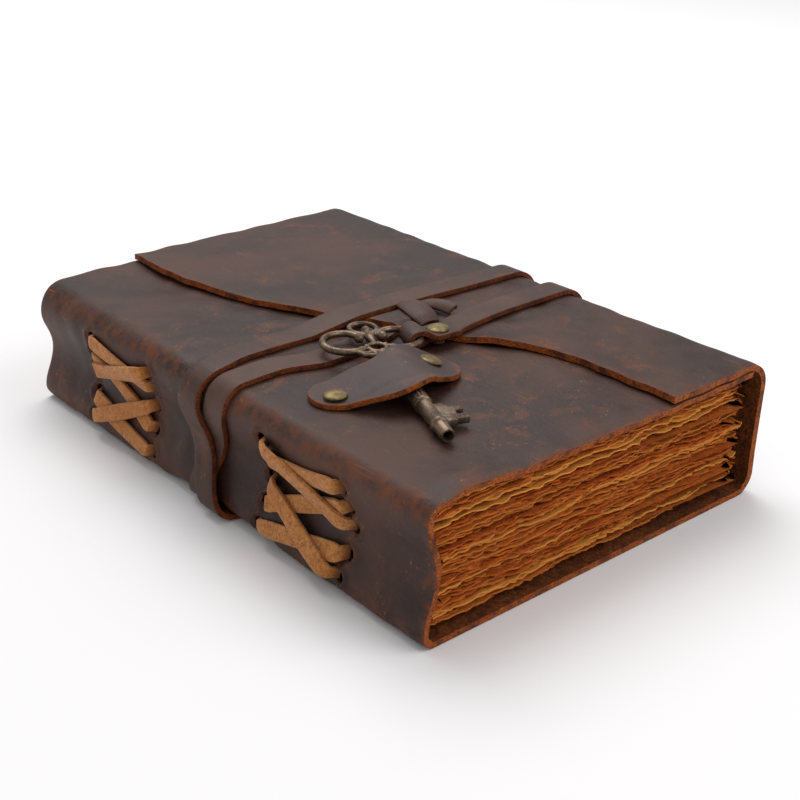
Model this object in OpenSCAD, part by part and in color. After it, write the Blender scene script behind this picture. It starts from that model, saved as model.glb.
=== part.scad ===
// Leather wrap journal, closed and tied: a one-piece hide cover with a curved flap, a block of
// deckled pages laced through the spine, a long strap wound twice and a cast key tucked under a keeper.
// X runs from the spine to the fore-edge, Y from tail to head, Z up; the book lies on its back cover.

/* [Book] */
// Length of the cover from tail to head
book_l = 178; // [150:1:220]
// Width of the cover from spine to fore-edge
book_w = 121.5; // [112:0.5:140]
// Height of the closed front cover above the table
book_h = 37; // [34:0.5:44]
// Thickness of the cover leather
hide_t = 1.7; // [1.4:0.1:2]
// Gap between the front cover and the flap that lies on it
flap_gap = 0.2; // [0.15:0.05:0.5]
// Gap left between pieces that rest on each other
rest_gap = 0.25; // [0.2:0.05:0.35]

/* [Edges] */
// Outer radius of the fore-edge fold at the top
fore_top_r = 8; // [6:0.5:10]
// Outer radius of the fore-edge fold at the bottom
fore_low_r = 6; // [5:0.5:8]
// How far the fore-edge wall leans in towards the bottom
fore_lean = 1; // [0:0.1:2]
// Outer radius of the spine folds at the tail
spine_tail_r = 4.5; // [3.5:0.5:6]
// Outer radius of the spine folds at the head
spine_head_r = 8.5; // [6:0.5:9]
// How far the middle of the spine is drawn in
waist = 3.2; // [2:0.1:4]
// How far the top of the spine stands in from the bottom
spine_lean = 1; // [0:0.1:2]

/* [Strap] */
// Width of the strap
strap_w = 8.4; // [7:0.1:9]
// Thickness of the strap
strap_t = 1.4; // [1.1:0.1:1.7]
// Width of the strap end where it is folded through the key
loop_w = 5; // [4:0.1:5.4]

/* [Keeper] */
// Thickness of the keeper leather
keeper_t = 1.5; // [1.3:0.1:2]
// Radius of the keeper's two ends
keeper_end_r = 7.8; // [7:0.1:8.2]
// Radius of the keeper's middle
keeper_mid_r = 12.6; // [11.5:0.1:13]
// Half width of the rise that the keeper makes over the key
keeper_rise_w = 15; // [13:0.5:16]

/* [Key] */
// Radius of the plain shank
shank_r = 1.95; // [1.7:0.05:2.1]
// Radius of the collars
collar_r = 2.3; // [2.15:0.05:2.45]
// Length of the shank from the bow to the tip
shank_l = 46.5; // [44:0.5:50]
// Radius of the hole in the tip
tip_bore_r = 1.2; // [0.8:0.05:1.4]
// Depth of the hole in the tip
tip_bore_l = 6; // [3:0.5:10]
// Centre radius of the bow's two side rings
ring_r = 6.2; // [5.8:0.1:6.4]
// Radius of the bar that the side rings are made of
ring_bar_r = 0.9; // [0.7:0.05:1]
// Centre radius of the bow's small top ring
crown_r = 3.7; // [3.2:0.1:4.2]
// Radius of the three beads in the bow
bead_r = 1.5; // [1.2:0.1:1.7]
// Thickness of the bit and of the pierced fan
bit_t = 1.8; // [1.4:0.1:2.2]
// How far the bit reaches from the axis of the shank
bit_reach = 8.2; // [7:0.1:9]

/* [Rivets] */
// Radius of a rivet's front cap
cap_r = 3.1; // [2.8:0.1:3.4]
// Height of a rivet's front cap
cap_h = 0.9; // [0.7:0.05:1.2]
// Radius of a rivet's back cap
back_r = 2.1; // [1.9:0.1:2.2]
// Height of a rivet's back cap
back_h = 0.8; // [0.6:0.05:1]
// Radius of a rivet's post
post_r = 1.2; // [1:0.05:1.4]

/* [Lacing] */
// Width of a lace
lace_w = 4.2; // [3.4:0.1:4.6]
// Thickness of a lace
lace_t = 1.1; // [0.9:0.1:1.3]
// Radius of a lace hole in the spine
lace_hole_r = 1.8; // [1.6:0.1:2]
// Radius of the lace where it is drawn through a hole
lace_neck_r = 1.6; // [1.2:0.1:1.7]

/* [Pages] */
// How far the pages stand short of the fore-edge wall
page_short = 7; // [5:0.5:10]
// How far the pages stand in from the ends of the cover
page_inset = 0.8; // [0.4:0.1:2]
// Gap between two gatherings at the edges
leaf_gap = 0.35; // [0.25:0.05:0.6]

/* [Hidden] */

hide_colour = "#4a3b35";
strap_colour = "#5a463d";
lace_colour = "#c9853f";
page_colour = "#c98a4b";
key_colour = "#8f7d6c";
brass_colour = "#9c8a5c";

half_l = book_l / 2;
half_w = book_w / 2;
flap_top = book_h + flap_gap + hide_t;
under_front = book_h - hide_t;
strap_level = strap_t + rest_gap;

// The strap is wider than the gap to its neighbours, so the whole part is set on the middle of its box
centre_x = strap_level / 2;

// Free edge of the flap seen from above, as [Y, X] from tail to head
flap_edge = [[-89, 22], [-60, 21.4], [-50, 20], [-42, 17.4], [-35, 13.8], [-28, 9], [-24, 6.4],
    [-20, 5], [-16, 2.2], [-12, -1.2], [-8, -3.4], [-3, -5.6], [2, -6.8], [11, -10], [20, -14.2], [30, -19], [42, -23], [56, -26.2],
    [72, -27.5], [89, -26]];
edge_blend = 3;

// Heights of the five lace holes, and their distances from the middle of the book on both sides.
// The near ones keep clear of the strap, the far ones keep their distance from the book's ends
hole_z = [29, 23.8, 18.4, 11.4, 5.2];
near_hole_y = [26.5, 26.5, 27, 26.5, 25.5];
far_hole_y = [for (d = [30.5, 29.5, 28.5, 29.5, 31]) half_l - d];
// Each lace run goes from a near hole to a far hole; the last two lie over the others
under_runs = [[1, 0], [3, 1], [4, 3]];
over_runs = [[0, 2], [2, 4]];

// Route of the strap as [leg, Y]: leg 0 front, 1 spine, 2 back, 3 fore-edge, then round again from 4
strap_route = [[0, -5.6], [0.1, -6], [0.22, -9.5], [0.45, -12], [0.62, -12.4], [0.78, -8.6], [0.9, -8.8],
    [1, -9.4], [1.2, -9], [1.45, -4.5], [1.7, -1.4], [1.85, 0.2], [2, 1], [3, 2.1], [4, 2.1], [4.3, 3.2],
    [4.8, 5.2], [4.92, 4.4], [5, 1.6], [5.3, 1.8], [5.5, 0], [5.7, -4.6], [5.84, -7.9], [6, -8.8],
    [6.3, -9.6], [7, -18.1], [8, -18.1], [8.3, -18.8], [9, -21.8]];
// How far the strap is lifted, in strap thicknesses, where it crosses the flap's rise and itself
strap_lift = [[4.2, 0], [4.3, 0.15], [4.45, 0.15], [4.6, 0], [5.08, 0], [5.26, 1], [5.84, 1], [5.97, 0],
    [8, 0], [8.2, 0.1]];

slit_x = 5;
loop_start_x = 10;
knot_at = [9.5, -6.2];

// Height of the underside of the back cover, drawn up where the strap passes under it
arch_tail_y = -25;
arch_head_y = 9;
arch_ramp = 12;

// The key's frame: its origin is where the shank meets the bow
key_at = [-19.6, -26.3];
key_turn = 68.8;
ring_along = 10.3;
ring_side = 7.3;
crown_along = 17;
hub_along = 9.3;
fan_r = 6.6;
collar_low_along = -41;
collar_flute_along = -24;
collar_flute_l = 7;
bow_lift = 1.3;
bow_z = book_h + rest_gap + strap_t + bow_lift + ring_bar_r;
shank_low_z = book_h + collar_r + 0.1;
key_slope = atan((bow_z - shank_low_z) / (ring_along - collar_low_along));
function key_axis_z(along) = bow_z - (ring_along - along) * tan(key_slope);

// Places of the rivets
rivet_left_at = [-42.8, -35.3];
rivet_right_at = [-12.7, -36.9];
rivet_strap_at = [2.9, -22];
keeper_ends = [[-40, -33.2], [-13.4, -37.4]];
keeper_mid = [-28.6, -38];
rivet_clear = 0.05;
keeper_low = book_h + 0.05;
keeper_clear = 0.15;

function clamp01(v) = min(1, max(0, v));
function ease(v) = let (c = clamp01(v)) c * c * (3 - 2 * c);
function mix(a, b, s) = a + (b - a) * s;

// X of the flap's free edge at Y, with its corners smoothed
function flap_x(y) =
    (lookup(y - edge_blend, flap_edge) + lookup(y, flap_edge) + lookup(y + edge_blend, flap_edge)) / 3;

// Height of the back cover's underside at Y
function arch_z(y) = strap_level * ease((y - arch_tail_y + arch_ramp) / arch_ramp)
    * ease((arch_head_y + arch_ramp - y) / arch_ramp);

// Rise of the flap over the strap end that is hidden below it
hidden_y = -6;
hidden_taper = 5.5;
hidden_rise = strap_t + 2 * rest_gap - flap_gap + 0.05;
function flap_rise(x, y) = hidden_rise
    * ease((strap_w / 2 + 1 + hidden_taper - abs(y - hidden_y)) / hidden_taper)
    * ease((slit_x + 3.2 + hidden_taper - x) / hidden_taper);

// Height of the top of the closed book at X and Y: the front cover, then a ramp up to the flap
flap_ramp = 14;
function top_z(x, y) = book_h + (flap_top - book_h + flap_rise(x, y))
    * ease((x - flap_x(y) + flap_ramp) / (flap_ramp - 0.3));

function spine_r(y) = mix(spine_tail_r, spine_head_r, pow(clamp01(0.5 + y / book_l), 2));
function arc_at(cx, cz, r, a) = [cx + r * cos(a), cz + r * sin(a), cos(a), sin(a)];

// Outer skin of the closed book as [X, Z, normal X, normal Z] at Y, in five stretches
fore_n = 11;
back_n = 6;
spine_arc_n = 4;
spine_wall_n = 10;
spine_n = 2 * spine_arc_n + spine_wall_n;

function fore_skin(i, y) = i <= 5
    ? arc_at(half_w - fore_top_r, flap_top - fore_top_r, fore_top_r, 90 - 18 * i)
    : let (low = arch_z(y)) i <= 6
        ? [half_w - fore_lean * 0.5, mix(flap_top - fore_top_r, low + fore_low_r, 0.5), 1, 0]
        : arc_at(half_w - fore_lean - fore_low_r, low + fore_low_r, fore_low_r, -22.5 * (i - 7));
function back_skin(i, y) =
    [mix(half_w - fore_lean - fore_low_r, -half_w + spine_r(y), i / back_n), arch_z(y), 0, -1];
function spine_wall(s, y) = let (
    low = arch_z(y) + spine_r(y),
    high = book_h - spine_r(y),
    slope = (spine_lean + waist * PI * sin(360 * s)) / (high - low),
    long = sqrt(1 + slope * slope))
    [-half_w + spine_lean * s + waist * (1 - cos(360 * s)) / 2, mix(low, high, s), -1 / long, slope / long];
function spine_skin(i, y) = let (r = spine_r(y)) i < spine_arc_n
    ? arc_at(-half_w + r, arch_z(y) + r, r, 270 - 90 * i / spine_arc_n)
    : i <= spine_arc_n + spine_wall_n
        ? spine_wall((i - spine_arc_n) / spine_wall_n, y)
        : let (a = 180 - 90 * (i - spine_arc_n - spine_wall_n) / spine_arc_n)
            arc_at(-half_w + spine_lean + r, book_h - r, r, a);
// Where the spine's outer face is at a given height
function spine_x(z, y) = let (
    low = arch_z(y) + spine_r(y),
    s = clamp01((z - low) / (book_h - spine_r(y) - low)))
    spine_wall(s, y)[0] + (z < low ? spine_r(y) - sqrt(max(0, pow(spine_r(y), 2) - pow(low - z, 2))) : 0);

// Where the spine's inner face is at a given height
function inner_spine_x(z, y) = let (
    r = spine_r(y),
    low = arch_z(y) + r,
    high = book_h - r,
    off = z < low ? low - z : z > high ? z - high : 0)
    off == 0 ? spine_x(z, y) + hide_t
        : -half_w + (z > high ? spine_lean : 0) + r - sqrt(max(0, pow(r - hide_t, 2) - off * off));

// Points of the cover's outer face at Y, from the flap's free edge all the way round to the hidden edge
flap_n = 15;
front_n = 6;
front_free_x = half_w - fore_top_r + 1.5;
function cover_skin(y) = concat(
    [for (i = [0 : flap_n - 1]) let (x = mix(flap_x(y), half_w - fore_top_r, pow(i / flap_n, 1.4)))
        [x, flap_top + flap_rise(x, y), 0, 1]],
    [for (i = [0 : fore_n]) fore_skin(i, y)],
    [for (i = [1 : back_n - 1]) back_skin(i, y)],
    [for (i = [0 : spine_n]) spine_skin(i, y)],
    [for (i = [1 : front_n]) let (x = mix(-half_w + spine_lean + spine_r(y), front_free_x, i / front_n))
        [x, book_h, 0, 1]]);

// A strip of leather between two grids of points; flip turns its faces the other way round
module strip(outer, inner, flip = false) {
    rows = len(outer);
    cols = len(outer[0]);
    pts = concat([for (r = outer) each r], [for (r = inner) each r]);
    o = rows * cols;
    faces = concat(
        [for (r = [0 : rows - 2], c = [0 : cols - 2]) let (a = r * cols + c) each
            [[a, a + 1, a + cols + 1], [a, a + cols + 1, a + cols],
            [o + a, o + a + cols + 1, o + a + 1], [o + a, o + a + cols, o + a + cols + 1]]],
        [for (c = [0 : cols - 2]) let (a = c, b = (rows - 1) * cols + c) each
            [[a, o + a, o + a + 1], [a, o + a + 1, a + 1],
            [b, b + 1, o + b + 1], [b, o + b + 1, o + b]]],
        [for (r = [0 : rows - 2]) let (a = r * cols, b = r * cols + cols - 1) each
            [[a, a + cols, o + a + cols], [a, o + a + cols, o + a],
            [b, o + b, o + b + cols], [b, o + b + cols, b + cols]]]);
    polyhedron(points = pts, faces = flip ? [for (f = faces) [f[2], f[1], f[0]]] : faces, convexity = 8);
}

cover_rows = 46;
function cover_y(i) = mix(-half_l, half_l, i / cover_rows);

module cover() {
    color(hide_colour) difference() {
        strip(
            [for (i = [0 : cover_rows]) let (y = cover_y(i)) [for (p = cover_skin(y)) [p[0], y, p[1]]]],
            [for (i = [0 : cover_rows]) let (y = cover_y(i)) [for (p = cover_skin(y))
                [p[0] - hide_t * p[2], y, p[1] - hide_t * p[3]]]],
            flip = true);
        for (side = [-1, 1], k = [0 : 4], y = [near_hole_y[k], far_hole_y[k]])
            translate([-half_w - 2, side * y, hole_z[k]]) rotate([0, 90, 0])
                cylinder(h = waist + hide_t + 5, r = lace_hole_r, $fn = 20);
        for (at = [rivet_left_at, rivet_right_at])
            translate([at[0], at[1], under_front - 1])
                cylinder(h = hide_t + 2, r = post_r + rivet_clear, $fn = 24);
        translate([slit_x, hidden_y - 3, flap_top - hide_t - 1]) cube([3, 6, hide_t + hidden_rise + 3]);
    }
}

// The pages lie in nine gatherings, each a little longer or shorter than the next
gatherings = 9;
page_low = strap_level + hide_t + rest_gap;
page_high = under_front - rest_gap;
leaf_h = (page_high - page_low) / gatherings;
page_core_inset = 2.2;
page_spine_gap = 2 * rest_gap + 0.2;
lace_hole_spread = max([for (k = [0 : 4]) each
    [abs(near_hole_y[k] - near_hole_y[1]), abs(far_hole_y[k] - far_hole_y[1])]]);
lace_notch_w = 2 * (lace_hole_spread + lace_neck_r + rest_gap);
function ragged(i, k) = sin(i * 137 + k * 71);

module page_block() {
    color(page_colour) difference() {
        union() {
            for (i = [0 : gatherings - 1]) {
                z = page_low + i * leaf_h;
                h = leaf_h - leaf_gap * (i == gatherings - 1 ? 0 : 1);
                back_x = page_spine_gap
                    + max([for (y = [-half_l, 0, half_l], k = [0, 0.5, 1]) inner_spine_x(z + k * h, y)]);
                front_x = half_w - hide_t - page_short + 1.8 * ragged(i, 1);
                tail_y = -half_l + page_inset + 0.5 + 0.5 * ragged(i, 2);
                head_y = half_l - page_inset - 0.5 + 0.5 * ragged(i, 3);
                translate([back_x + h / 2, tail_y, z]) cube([front_x - back_x - h / 2, head_y - tail_y, h]);
                translate([back_x + h / 2, tail_y, z + h / 2]) rotate([-90, 0, 0])
                    cylinder(h = head_y - tail_y, r = h / 2, $fn = 24);
            }
            core_x = page_core_inset + max(-half_w + spine_lean + waist + hide_t,
                max([for (y = [-half_l, half_l], z = [page_low, page_high]) inner_spine_x(z, y)]));
            translate([core_x, -half_l + page_inset + page_core_inset, page_low])
                cube([half_w - hide_t - page_short - page_core_inset - core_x,
                    book_l - 2 * page_inset - 2 * page_core_inset, page_high - page_low]);
        }
        for (side = [-1, 1], y = [near_hole_y[1], far_hole_y[1]])
            translate([-half_w, side * y - lace_notch_w / 2, page_low - 1])
                cube([inner_run_x + lace_t + rest_gap + half_w, lace_notch_w, page_high - page_low + 2]);
        for (at = [rivet_left_at, rivet_right_at])
            translate([at[0], at[1], page_high - back_h])
                cylinder(h = back_h + 1, r = back_r + rest_gap, $fn = 32);
    }
}

// One lace group: five runs outside, necks through the holes and two drawn runs inside
inner_run_x = -half_w + spine_lean + waist + hide_t + rest_gap;
lace_n = 12;
function lace_y(side, far, k) = side * (far ? far_hole_y[k] : near_hole_y[k]);

module lace_run(side, near, far, level) {
    a = [lace_y(side, false, near), hole_z[near]];
    b = [lace_y(side, true, far), hole_z[far]];
    along = (b - a) / norm(b - a);
    across = [-along[1], along[0]] * side;
    stations = [for (i = [0 : lace_n]) let (
        s = i / lace_n,
        p = mix(a, b, s) + along * mix(-1, 1, s) * 1.2,
        ends = min(s, 1 - s) * 4,
        lift = rest_gap + level * (lace_t + rest_gap) * ease(ends * 1.6),
        half = lace_w / 2 * mix(0.62, 1, ease(ends)))
        [for (e = [-1, 0, 1]) let (q = p + across * e * half) [q, lift]]];
    strip(
        [for (st = stations) [for (q = st) [spine_x(q[0][1], q[0][0]) - q[1] - lace_t, q[0][0], q[0][1]]]],
        [for (st = stations) [for (q = st) [spine_x(q[0][1], q[0][0]) - q[1], q[0][0], q[0][1]]]],
        flip = side > 0);
}

module lace_neck(y, z) {
    x = spine_x(z, y) - rest_gap - lace_t / 2;
    translate([x, y, z]) rotate([0, 90, 0])
        cylinder(h = inner_run_x + lace_t / 2 - x, r = lace_neck_r, $fn = 20);
}

module lace_group(side) {
    color(lace_colour) union() {
        for (r = under_runs) lace_run(side, r[0], r[1], 0);
        for (r = over_runs) lace_run(side, r[0], r[1], 1);
        for (k = [0 : 4], y = [near_hole_y[k], far_hole_y[k]]) lace_neck(side * y, hole_z[k]);
        for (y = [near_hole_y[1], far_hole_y[1]])
            translate([inner_run_x, side * y - lace_w / 2, hole_z[4] - lace_neck_r])
                cube([lace_t, lace_w, hole_z[0] - hole_z[4] + 2 * lace_neck_r]);
    }
}

module lacing_head() lace_group(1);

module lacing_tail() lace_group(-1);

// Skin under the strap at leg position t and at Y: the strap runs leftwards over the front first
front_rings = 24;
spine_rings = spine_n;
back_rings = 10;
fore_rings = fore_n;
function strap_skin(t, y) = let (leg = floor(t) % 4, s = t - floor(t)) leg == 0
    ? let (x = mix(half_w - fore_top_r, -half_w + spine_lean + spine_r(y), s))
        [x, t < 1 ? book_h : top_z(x, y), 0, 1]
    : leg == 1 ? spine_skin(round(spine_n * (1 - s)), y)
    : leg == 2 ? [mix(-half_w + spine_r(y), half_w - fore_lean - fore_low_r, s), arch_z(y), 0, -1]
    : fore_skin(round(fore_n * (1 - s)), y);

// The first leg starts at the slit and not at the fore-edge, so its shares are counted from there
slit_share = (half_w - fore_top_r - slit_x - strap_t) / (book_w - fore_top_r - spine_lean - 6);
function first_leg(s) = mix(slit_share, 1, s);
loop_share = (half_w - fore_top_r - loop_start_x) / (book_w - fore_top_r - spine_lean - 6);

strap_stations = concat(
    [for (i = [0 : front_rings - 1]) first_leg(i / front_rings)],
    [for (i = [0 : spine_rings - 1]) 1 + i / spine_rings],
    [for (i = [0 : back_rings - 1]) 2 + i / back_rings],
    [for (i = [0 : fore_rings - 1]) 3 + i / fore_rings],
    [for (i = [0 : 2 * front_rings - 1]) 4 + i / (2 * front_rings)],
    [for (i = [0 : spine_rings - 1]) 5 + i / spine_rings],
    [for (i = [0 : back_rings - 1]) 6 + i / back_rings],
    [for (i = [0 : fore_rings - 1]) 7 + i / fore_rings],
    [for (i = [0 : 10]) 8 + loop_share * i / 10]);
function strap_y(t) = t < 1 ? lookup((t - slit_share) / (1 - slit_share), strap_route) : lookup(t, strap_route);

function strap_ring(t, h) = [for (e = [-1, 1]) let (
    y = strap_y(t) + e * strap_w / 2,
    p = strap_skin(t, y),
    d = rest_gap + lookup(t, strap_lift) * strap_level + h)
    [p[0] + p[2] * d, y, p[1] + p[3] * d]];

// The folded end: over the ring's bar, round and back below it, as [X, Z, normal X, normal Z, Y, width]
loop_bar_x = key_at[0] + ring_along * cos(key_turn) + ring_side * sin(key_turn) + ring_r;
loop_turn_x = loop_bar_x - 4.4;
loop_low_z = book_h + rest_gap;
loop_high_z = bow_z + ring_bar_r + 0.1;
rivet_low_z = book_h + 0.45 + back_h + rivet_clear;
rivet_high_z = rivet_low_z + strap_t + 0.05;
loop_mid_z = (loop_low_z + strap_t + loop_high_z) / 2;
loop_in_r = loop_high_z - loop_mid_z;
loop_y = -20.6;
loop_upper = [[5.8, flap_top + rest_gap + 0.1, 0, 1, rivet_strap_at[1], strap_w],
    [rivet_strap_at[0] + 1.5, rivet_high_z, 0, 1, rivet_strap_at[1], strap_w],
    [rivet_strap_at[0] - cap_r - 0.2, rivet_high_z, 0, 1, rivet_strap_at[1], strap_w - 1],
    [loop_bar_x + 0.4, loop_high_z, 0, 1, loop_y - 0.4, loop_w + 0.8],
    [loop_turn_x + 0.6, loop_high_z, 0, 1, loop_y, loop_w]];
loop_lower = [[loop_turn_x + 0.6, loop_low_z + strap_t, 0, -1, loop_y, loop_w],
    [loop_bar_x, loop_low_z + strap_t, 0, -1, loop_y - 0.4, loop_w + 0.8],
    [rivet_strap_at[0] - 2.6, rivet_low_z + strap_t, 0, -1, rivet_strap_at[1], strap_w - 1],
    [rivet_strap_at[0] + 1.7, rivet_low_z + strap_t, 0, -1, rivet_strap_at[1] - 0.8, strap_w - 3.8]];
loop_bend = [for (i = [1 : 7]) let (a = 90 + 180 * i / 8)
    [loop_turn_x + loop_in_r * cos(a), loop_mid_z + loop_in_r * sin(a), cos(a), sin(a), loop_y, loop_w]];
loop_path = concat(loop_upper, loop_bend, loop_lower);
function loop_ring(p, h) = [for (e = [-1, 1]) [p[0] + p[2] * h, p[4] + e * p[5] / 2, p[1] + p[3] * h]];

knot_h = 3.6;
module strap_knot() {
    low = flap_top + hidden_rise + rest_gap;
    translate([slit_x + 0.3, hidden_y - 2.7, book_h + rest_gap]) cube([2.4, 5.4, low + 1 - book_h - rest_gap]);
    hull() {
        translate([knot_at[0] - 3.4, knot_at[1] + 1, low]) cylinder(h = knot_h - 0.6, r = 2.2, $fn = 24);
        translate([knot_at[0] + 1.2, knot_at[1] - 0.6, low]) cylinder(h = knot_h, r = 3, $fn = 24);
    }
    translate([knot_at[0] + 1, knot_at[1] - 1.2, low + 0.3]) cube([7.5, 3.4, strap_t + 0.6]);
}

module wrap_strap() {
    color(strap_colour) difference() {
        union() {
            strip(
                concat([for (t = strap_stations) strap_ring(t, strap_t)],
                    [for (p = loop_path) loop_ring(p, strap_t)]),
                concat([for (t = strap_stations) strap_ring(t, 0)],
                    [for (p = loop_path) loop_ring(p, 0)]),
                flip = true);
            strap_knot();
        }
        translate([rivet_strap_at[0], rivet_strap_at[1], rivet_low_z - 1])
            cylinder(h = 2 * strap_t + 3, r = post_r + rivet_clear, $fn = 24);
    }
}

module at_key() {
    along_z = bow_z - ring_along * sin(key_slope);
    translate([key_at[0], key_at[1], along_z]) rotate([0, 0, key_turn]) rotate([0, -key_slope, 0]) children();
}

module bar_ring(r, bar) {
    rotate_extrude($fn = 48) translate([r, 0]) circle(r = bar, $fn = 20);
}

module key_shank() {
    rotate([0, -90, 0]) difference() {
        union() {
            cylinder(h = shank_l, r = shank_r, $fn = 32);
            translate([0, 0, -collar_flute_along]) cylinder(h = collar_flute_l, r = collar_r, $fn = 32);
            translate([0, 0, -collar_low_along - 0.7]) cylinder(h = 1.4, r = collar_r, $fn = 32);
            translate([0, 0, -collar_flute_along + collar_flute_l + 0.3])
                cylinder(h = 1, r = collar_r - 0.1, $fn = 32);
        }
        translate([0, 0, shank_l - tip_bore_l]) cylinder(h = tip_bore_l + 1, r = tip_bore_r, $fn = 24);
        for (k = [0 : 11]) rotate(30 * k) translate([collar_r + 0.15, 0, -collar_flute_along + 0.8])
            cylinder(h = collar_flute_l - 1.6, r = 0.4, $fn = 16);
    }
}

module key_bit() {
    low = collar_low_along + 0.4;
    translate([0, 0, -bit_t / 2]) linear_extrude(bit_t) polygon([
        [low, -shank_r * 0.6], [low, -bit_reach + 3.4], [low + 0.8, -bit_reach + 3.4],
        [low + 0.8, -bit_reach], [low + 3.2, -bit_reach], [low + 3.2, -bit_reach + 2.4],
        [low + 5.2, -bit_reach + 2.4], [low + 5.2, -bit_reach], [low + 7.2, -bit_reach],
        [low + 7.2, -bit_reach + 3], [low + 9.4, -bit_reach + 4.2], [low + 9.4, -shank_r * 0.6]]);
}

module key_fan() {
    translate([0, 0, -bit_t / 2]) linear_extrude(bit_t) difference() {
        union() {
            circle(r = fan_r, $fn = 48);
            translate([hub_along, 0]) circle(r = 2, $fn = 32);
            translate([fan_r - 1, -1.2]) square([hub_along - fan_r + 1, 2.4]);
            for (e = [-1, 1]) translate([3.2, e * 5.5]) circle(r = 1.7, $fn = 24);
        }
        translate([-fan_r - 0.1, -fan_r - 3]) square([fan_r, 2 * fan_r + 6]);
        translate([3.6, 0]) circle(r = 1.7, $fn = 24);
        for (e = [-1, 1]) translate([2.4, e * 3.9]) circle(r = 1.2, $fn = 24);
    }
}

module key() {
    color(key_colour) at_key() union() {
        key_shank();
        key_bit();
        key_fan();
        for (e = [-1, 1]) {
            translate([ring_along, e * ring_side, 0]) bar_ring(ring_r, ring_bar_r);
            translate([ring_along + 0.6, e * 3.4, bead_r - ring_bar_r]) sphere(r = bead_r, $fn = 24);
        }
        translate([crown_along, 0, 0]) bar_ring(crown_r, ring_bar_r - 0.1);
        translate([crown_along - 2.2, 0, bead_r - ring_bar_r]) sphere(r = bead_r, $fn = 24);
        translate([hub_along, 0, 0]) rotate([0, 90, 0])
            cylinder(h = crown_along - crown_r - hub_along, r = 1, $fn = 20);
    }
}

// The keeper: rings from its middle to its rim, raised over the key's axis
keeper_rings = 7;
keeper_sides = 48;
function keeper_rim(i) = let (
    a = 360 * i / keeper_sides,
    u = [cos(a), sin(a)],
    discs = [for (e = keeper_ends, s = [0 : 0.125 : 1])
        [mix(keeper_mid, e, s), mix(keeper_mid_r, keeper_end_r, s)]],
    reach = max([for (k = discs) let (d = k[0] - keeper_mid, along = d * u, off = norm(d - along * u))
        off < k[1] ? along + sqrt(k[1] * k[1] - off * off) : 0]))
    keeper_mid + reach * u;
function keeper_rise(p) = let (
    d = p - key_at,
    along = d[0] * cos(key_turn) + d[1] * sin(key_turn),
    off = abs(d[0] * sin(key_turn) - d[1] * cos(key_turn)),
    crown = key_axis_z(along) + collar_r + keeper_clear - keeper_low)
    crown * (off < keeper_rise_w ? pow(0.5 + 0.5 * cos(180 * off / keeper_rise_w), 1.3) : 0);
function keeper_point(k, i, h) = let (p = mix(keeper_mid, keeper_rim(i), k / keeper_rings))
    [p[0], p[1], keeper_low + keeper_rise(p) + h];

module keeper_sheet() {
    ring = [for (k = [1 : keeper_rings], i = [0 : keeper_sides - 1]) keeper_point(k, i, 0)];
    pts = concat([keeper_point(0, 0, 0)], ring, [keeper_point(0, 0, keeper_t)],
        [for (p = ring) [p[0], p[1], p[2] + keeper_t]]);
    o = len(ring) + 1;
    last = 1 + (keeper_rings - 1) * keeper_sides;
    faces = concat(
        [for (i = [0 : keeper_sides - 1]) let (j = (i + 1) % keeper_sides) each
            [[0, 1 + i, 1 + j], [o, o + 1 + j, o + 1 + i],
            [last + i, o + last + i, o + last + j], [last + i, o + last + j, last + j]]],
        [for (k = [0 : keeper_rings - 2], i = [0 : keeper_sides - 1]) let (
            j = (i + 1) % keeper_sides, a = 1 + k * keeper_sides, b = a + keeper_sides) each
            [[a + i, b + i, b + j], [a + i, b + j, a + j],
            [o + a + i, o + b + j, o + b + i], [o + a + i, o + a + j, o + b + j]]]);
    polyhedron(points = pts, faces = faces, convexity = 6);
}

module key_keeper() {
    color(hide_colour) difference() {
        keeper_sheet();
        for (at = [rivet_left_at, rivet_right_at])
            translate([at[0], at[1], book_h - 1])
                cylinder(h = bow_z - book_h + shank_r + keeper_t + 3, r = post_r + rivet_clear, $fn = 24);
    }
}

// A rivet is a front cap with a post, and a back cap that the post is set in
module rivet_front(at, top_z, low_z) {
    color(brass_colour) translate([at[0], at[1], 0]) {
        intersection() {
            translate([0, 0, top_z + cap_h - 8]) sphere(r = 8, $fn = 64);
            translate([0, 0, top_z]) cylinder(h = cap_h + 1, r = cap_r, $fn = 48);
        }
        translate([0, 0, low_z]) cylinder(h = top_z - low_z + 0.1, r = post_r, $fn = 24);
    }
}

module rivet_back(at, high_z) {
    color(brass_colour) translate([at[0], at[1], high_z - back_h]) cylinder(h = back_h, r = back_r, $fn = 32);
}

function keeper_seat(at) = keeper_low + keeper_t + max([for (i = [0 : 15]) let (a = 22.5 * i)
    keeper_rise(at + cap_r * [cos(a), sin(a)])]) + 2 * rivet_clear;

module keeper_rivet_left() rivet_front(rivet_left_at, keeper_seat(rivet_left_at), under_front - rivet_clear);
module keeper_rivet_left_back() rivet_back(rivet_left_at, under_front - rivet_clear);
module keeper_rivet_right() rivet_front(rivet_right_at, keeper_seat(rivet_right_at), under_front - rivet_clear);
module keeper_rivet_right_back() rivet_back(rivet_right_at, under_front - rivet_clear);
strap_seat = rivet_high_z + strap_t + rivet_clear;
module strap_rivet() rivet_front(rivet_strap_at, strap_seat, rivet_low_z - rivet_clear);
module strap_rivet_back() rivet_back(rivet_strap_at, rivet_low_z - rivet_clear);

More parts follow.
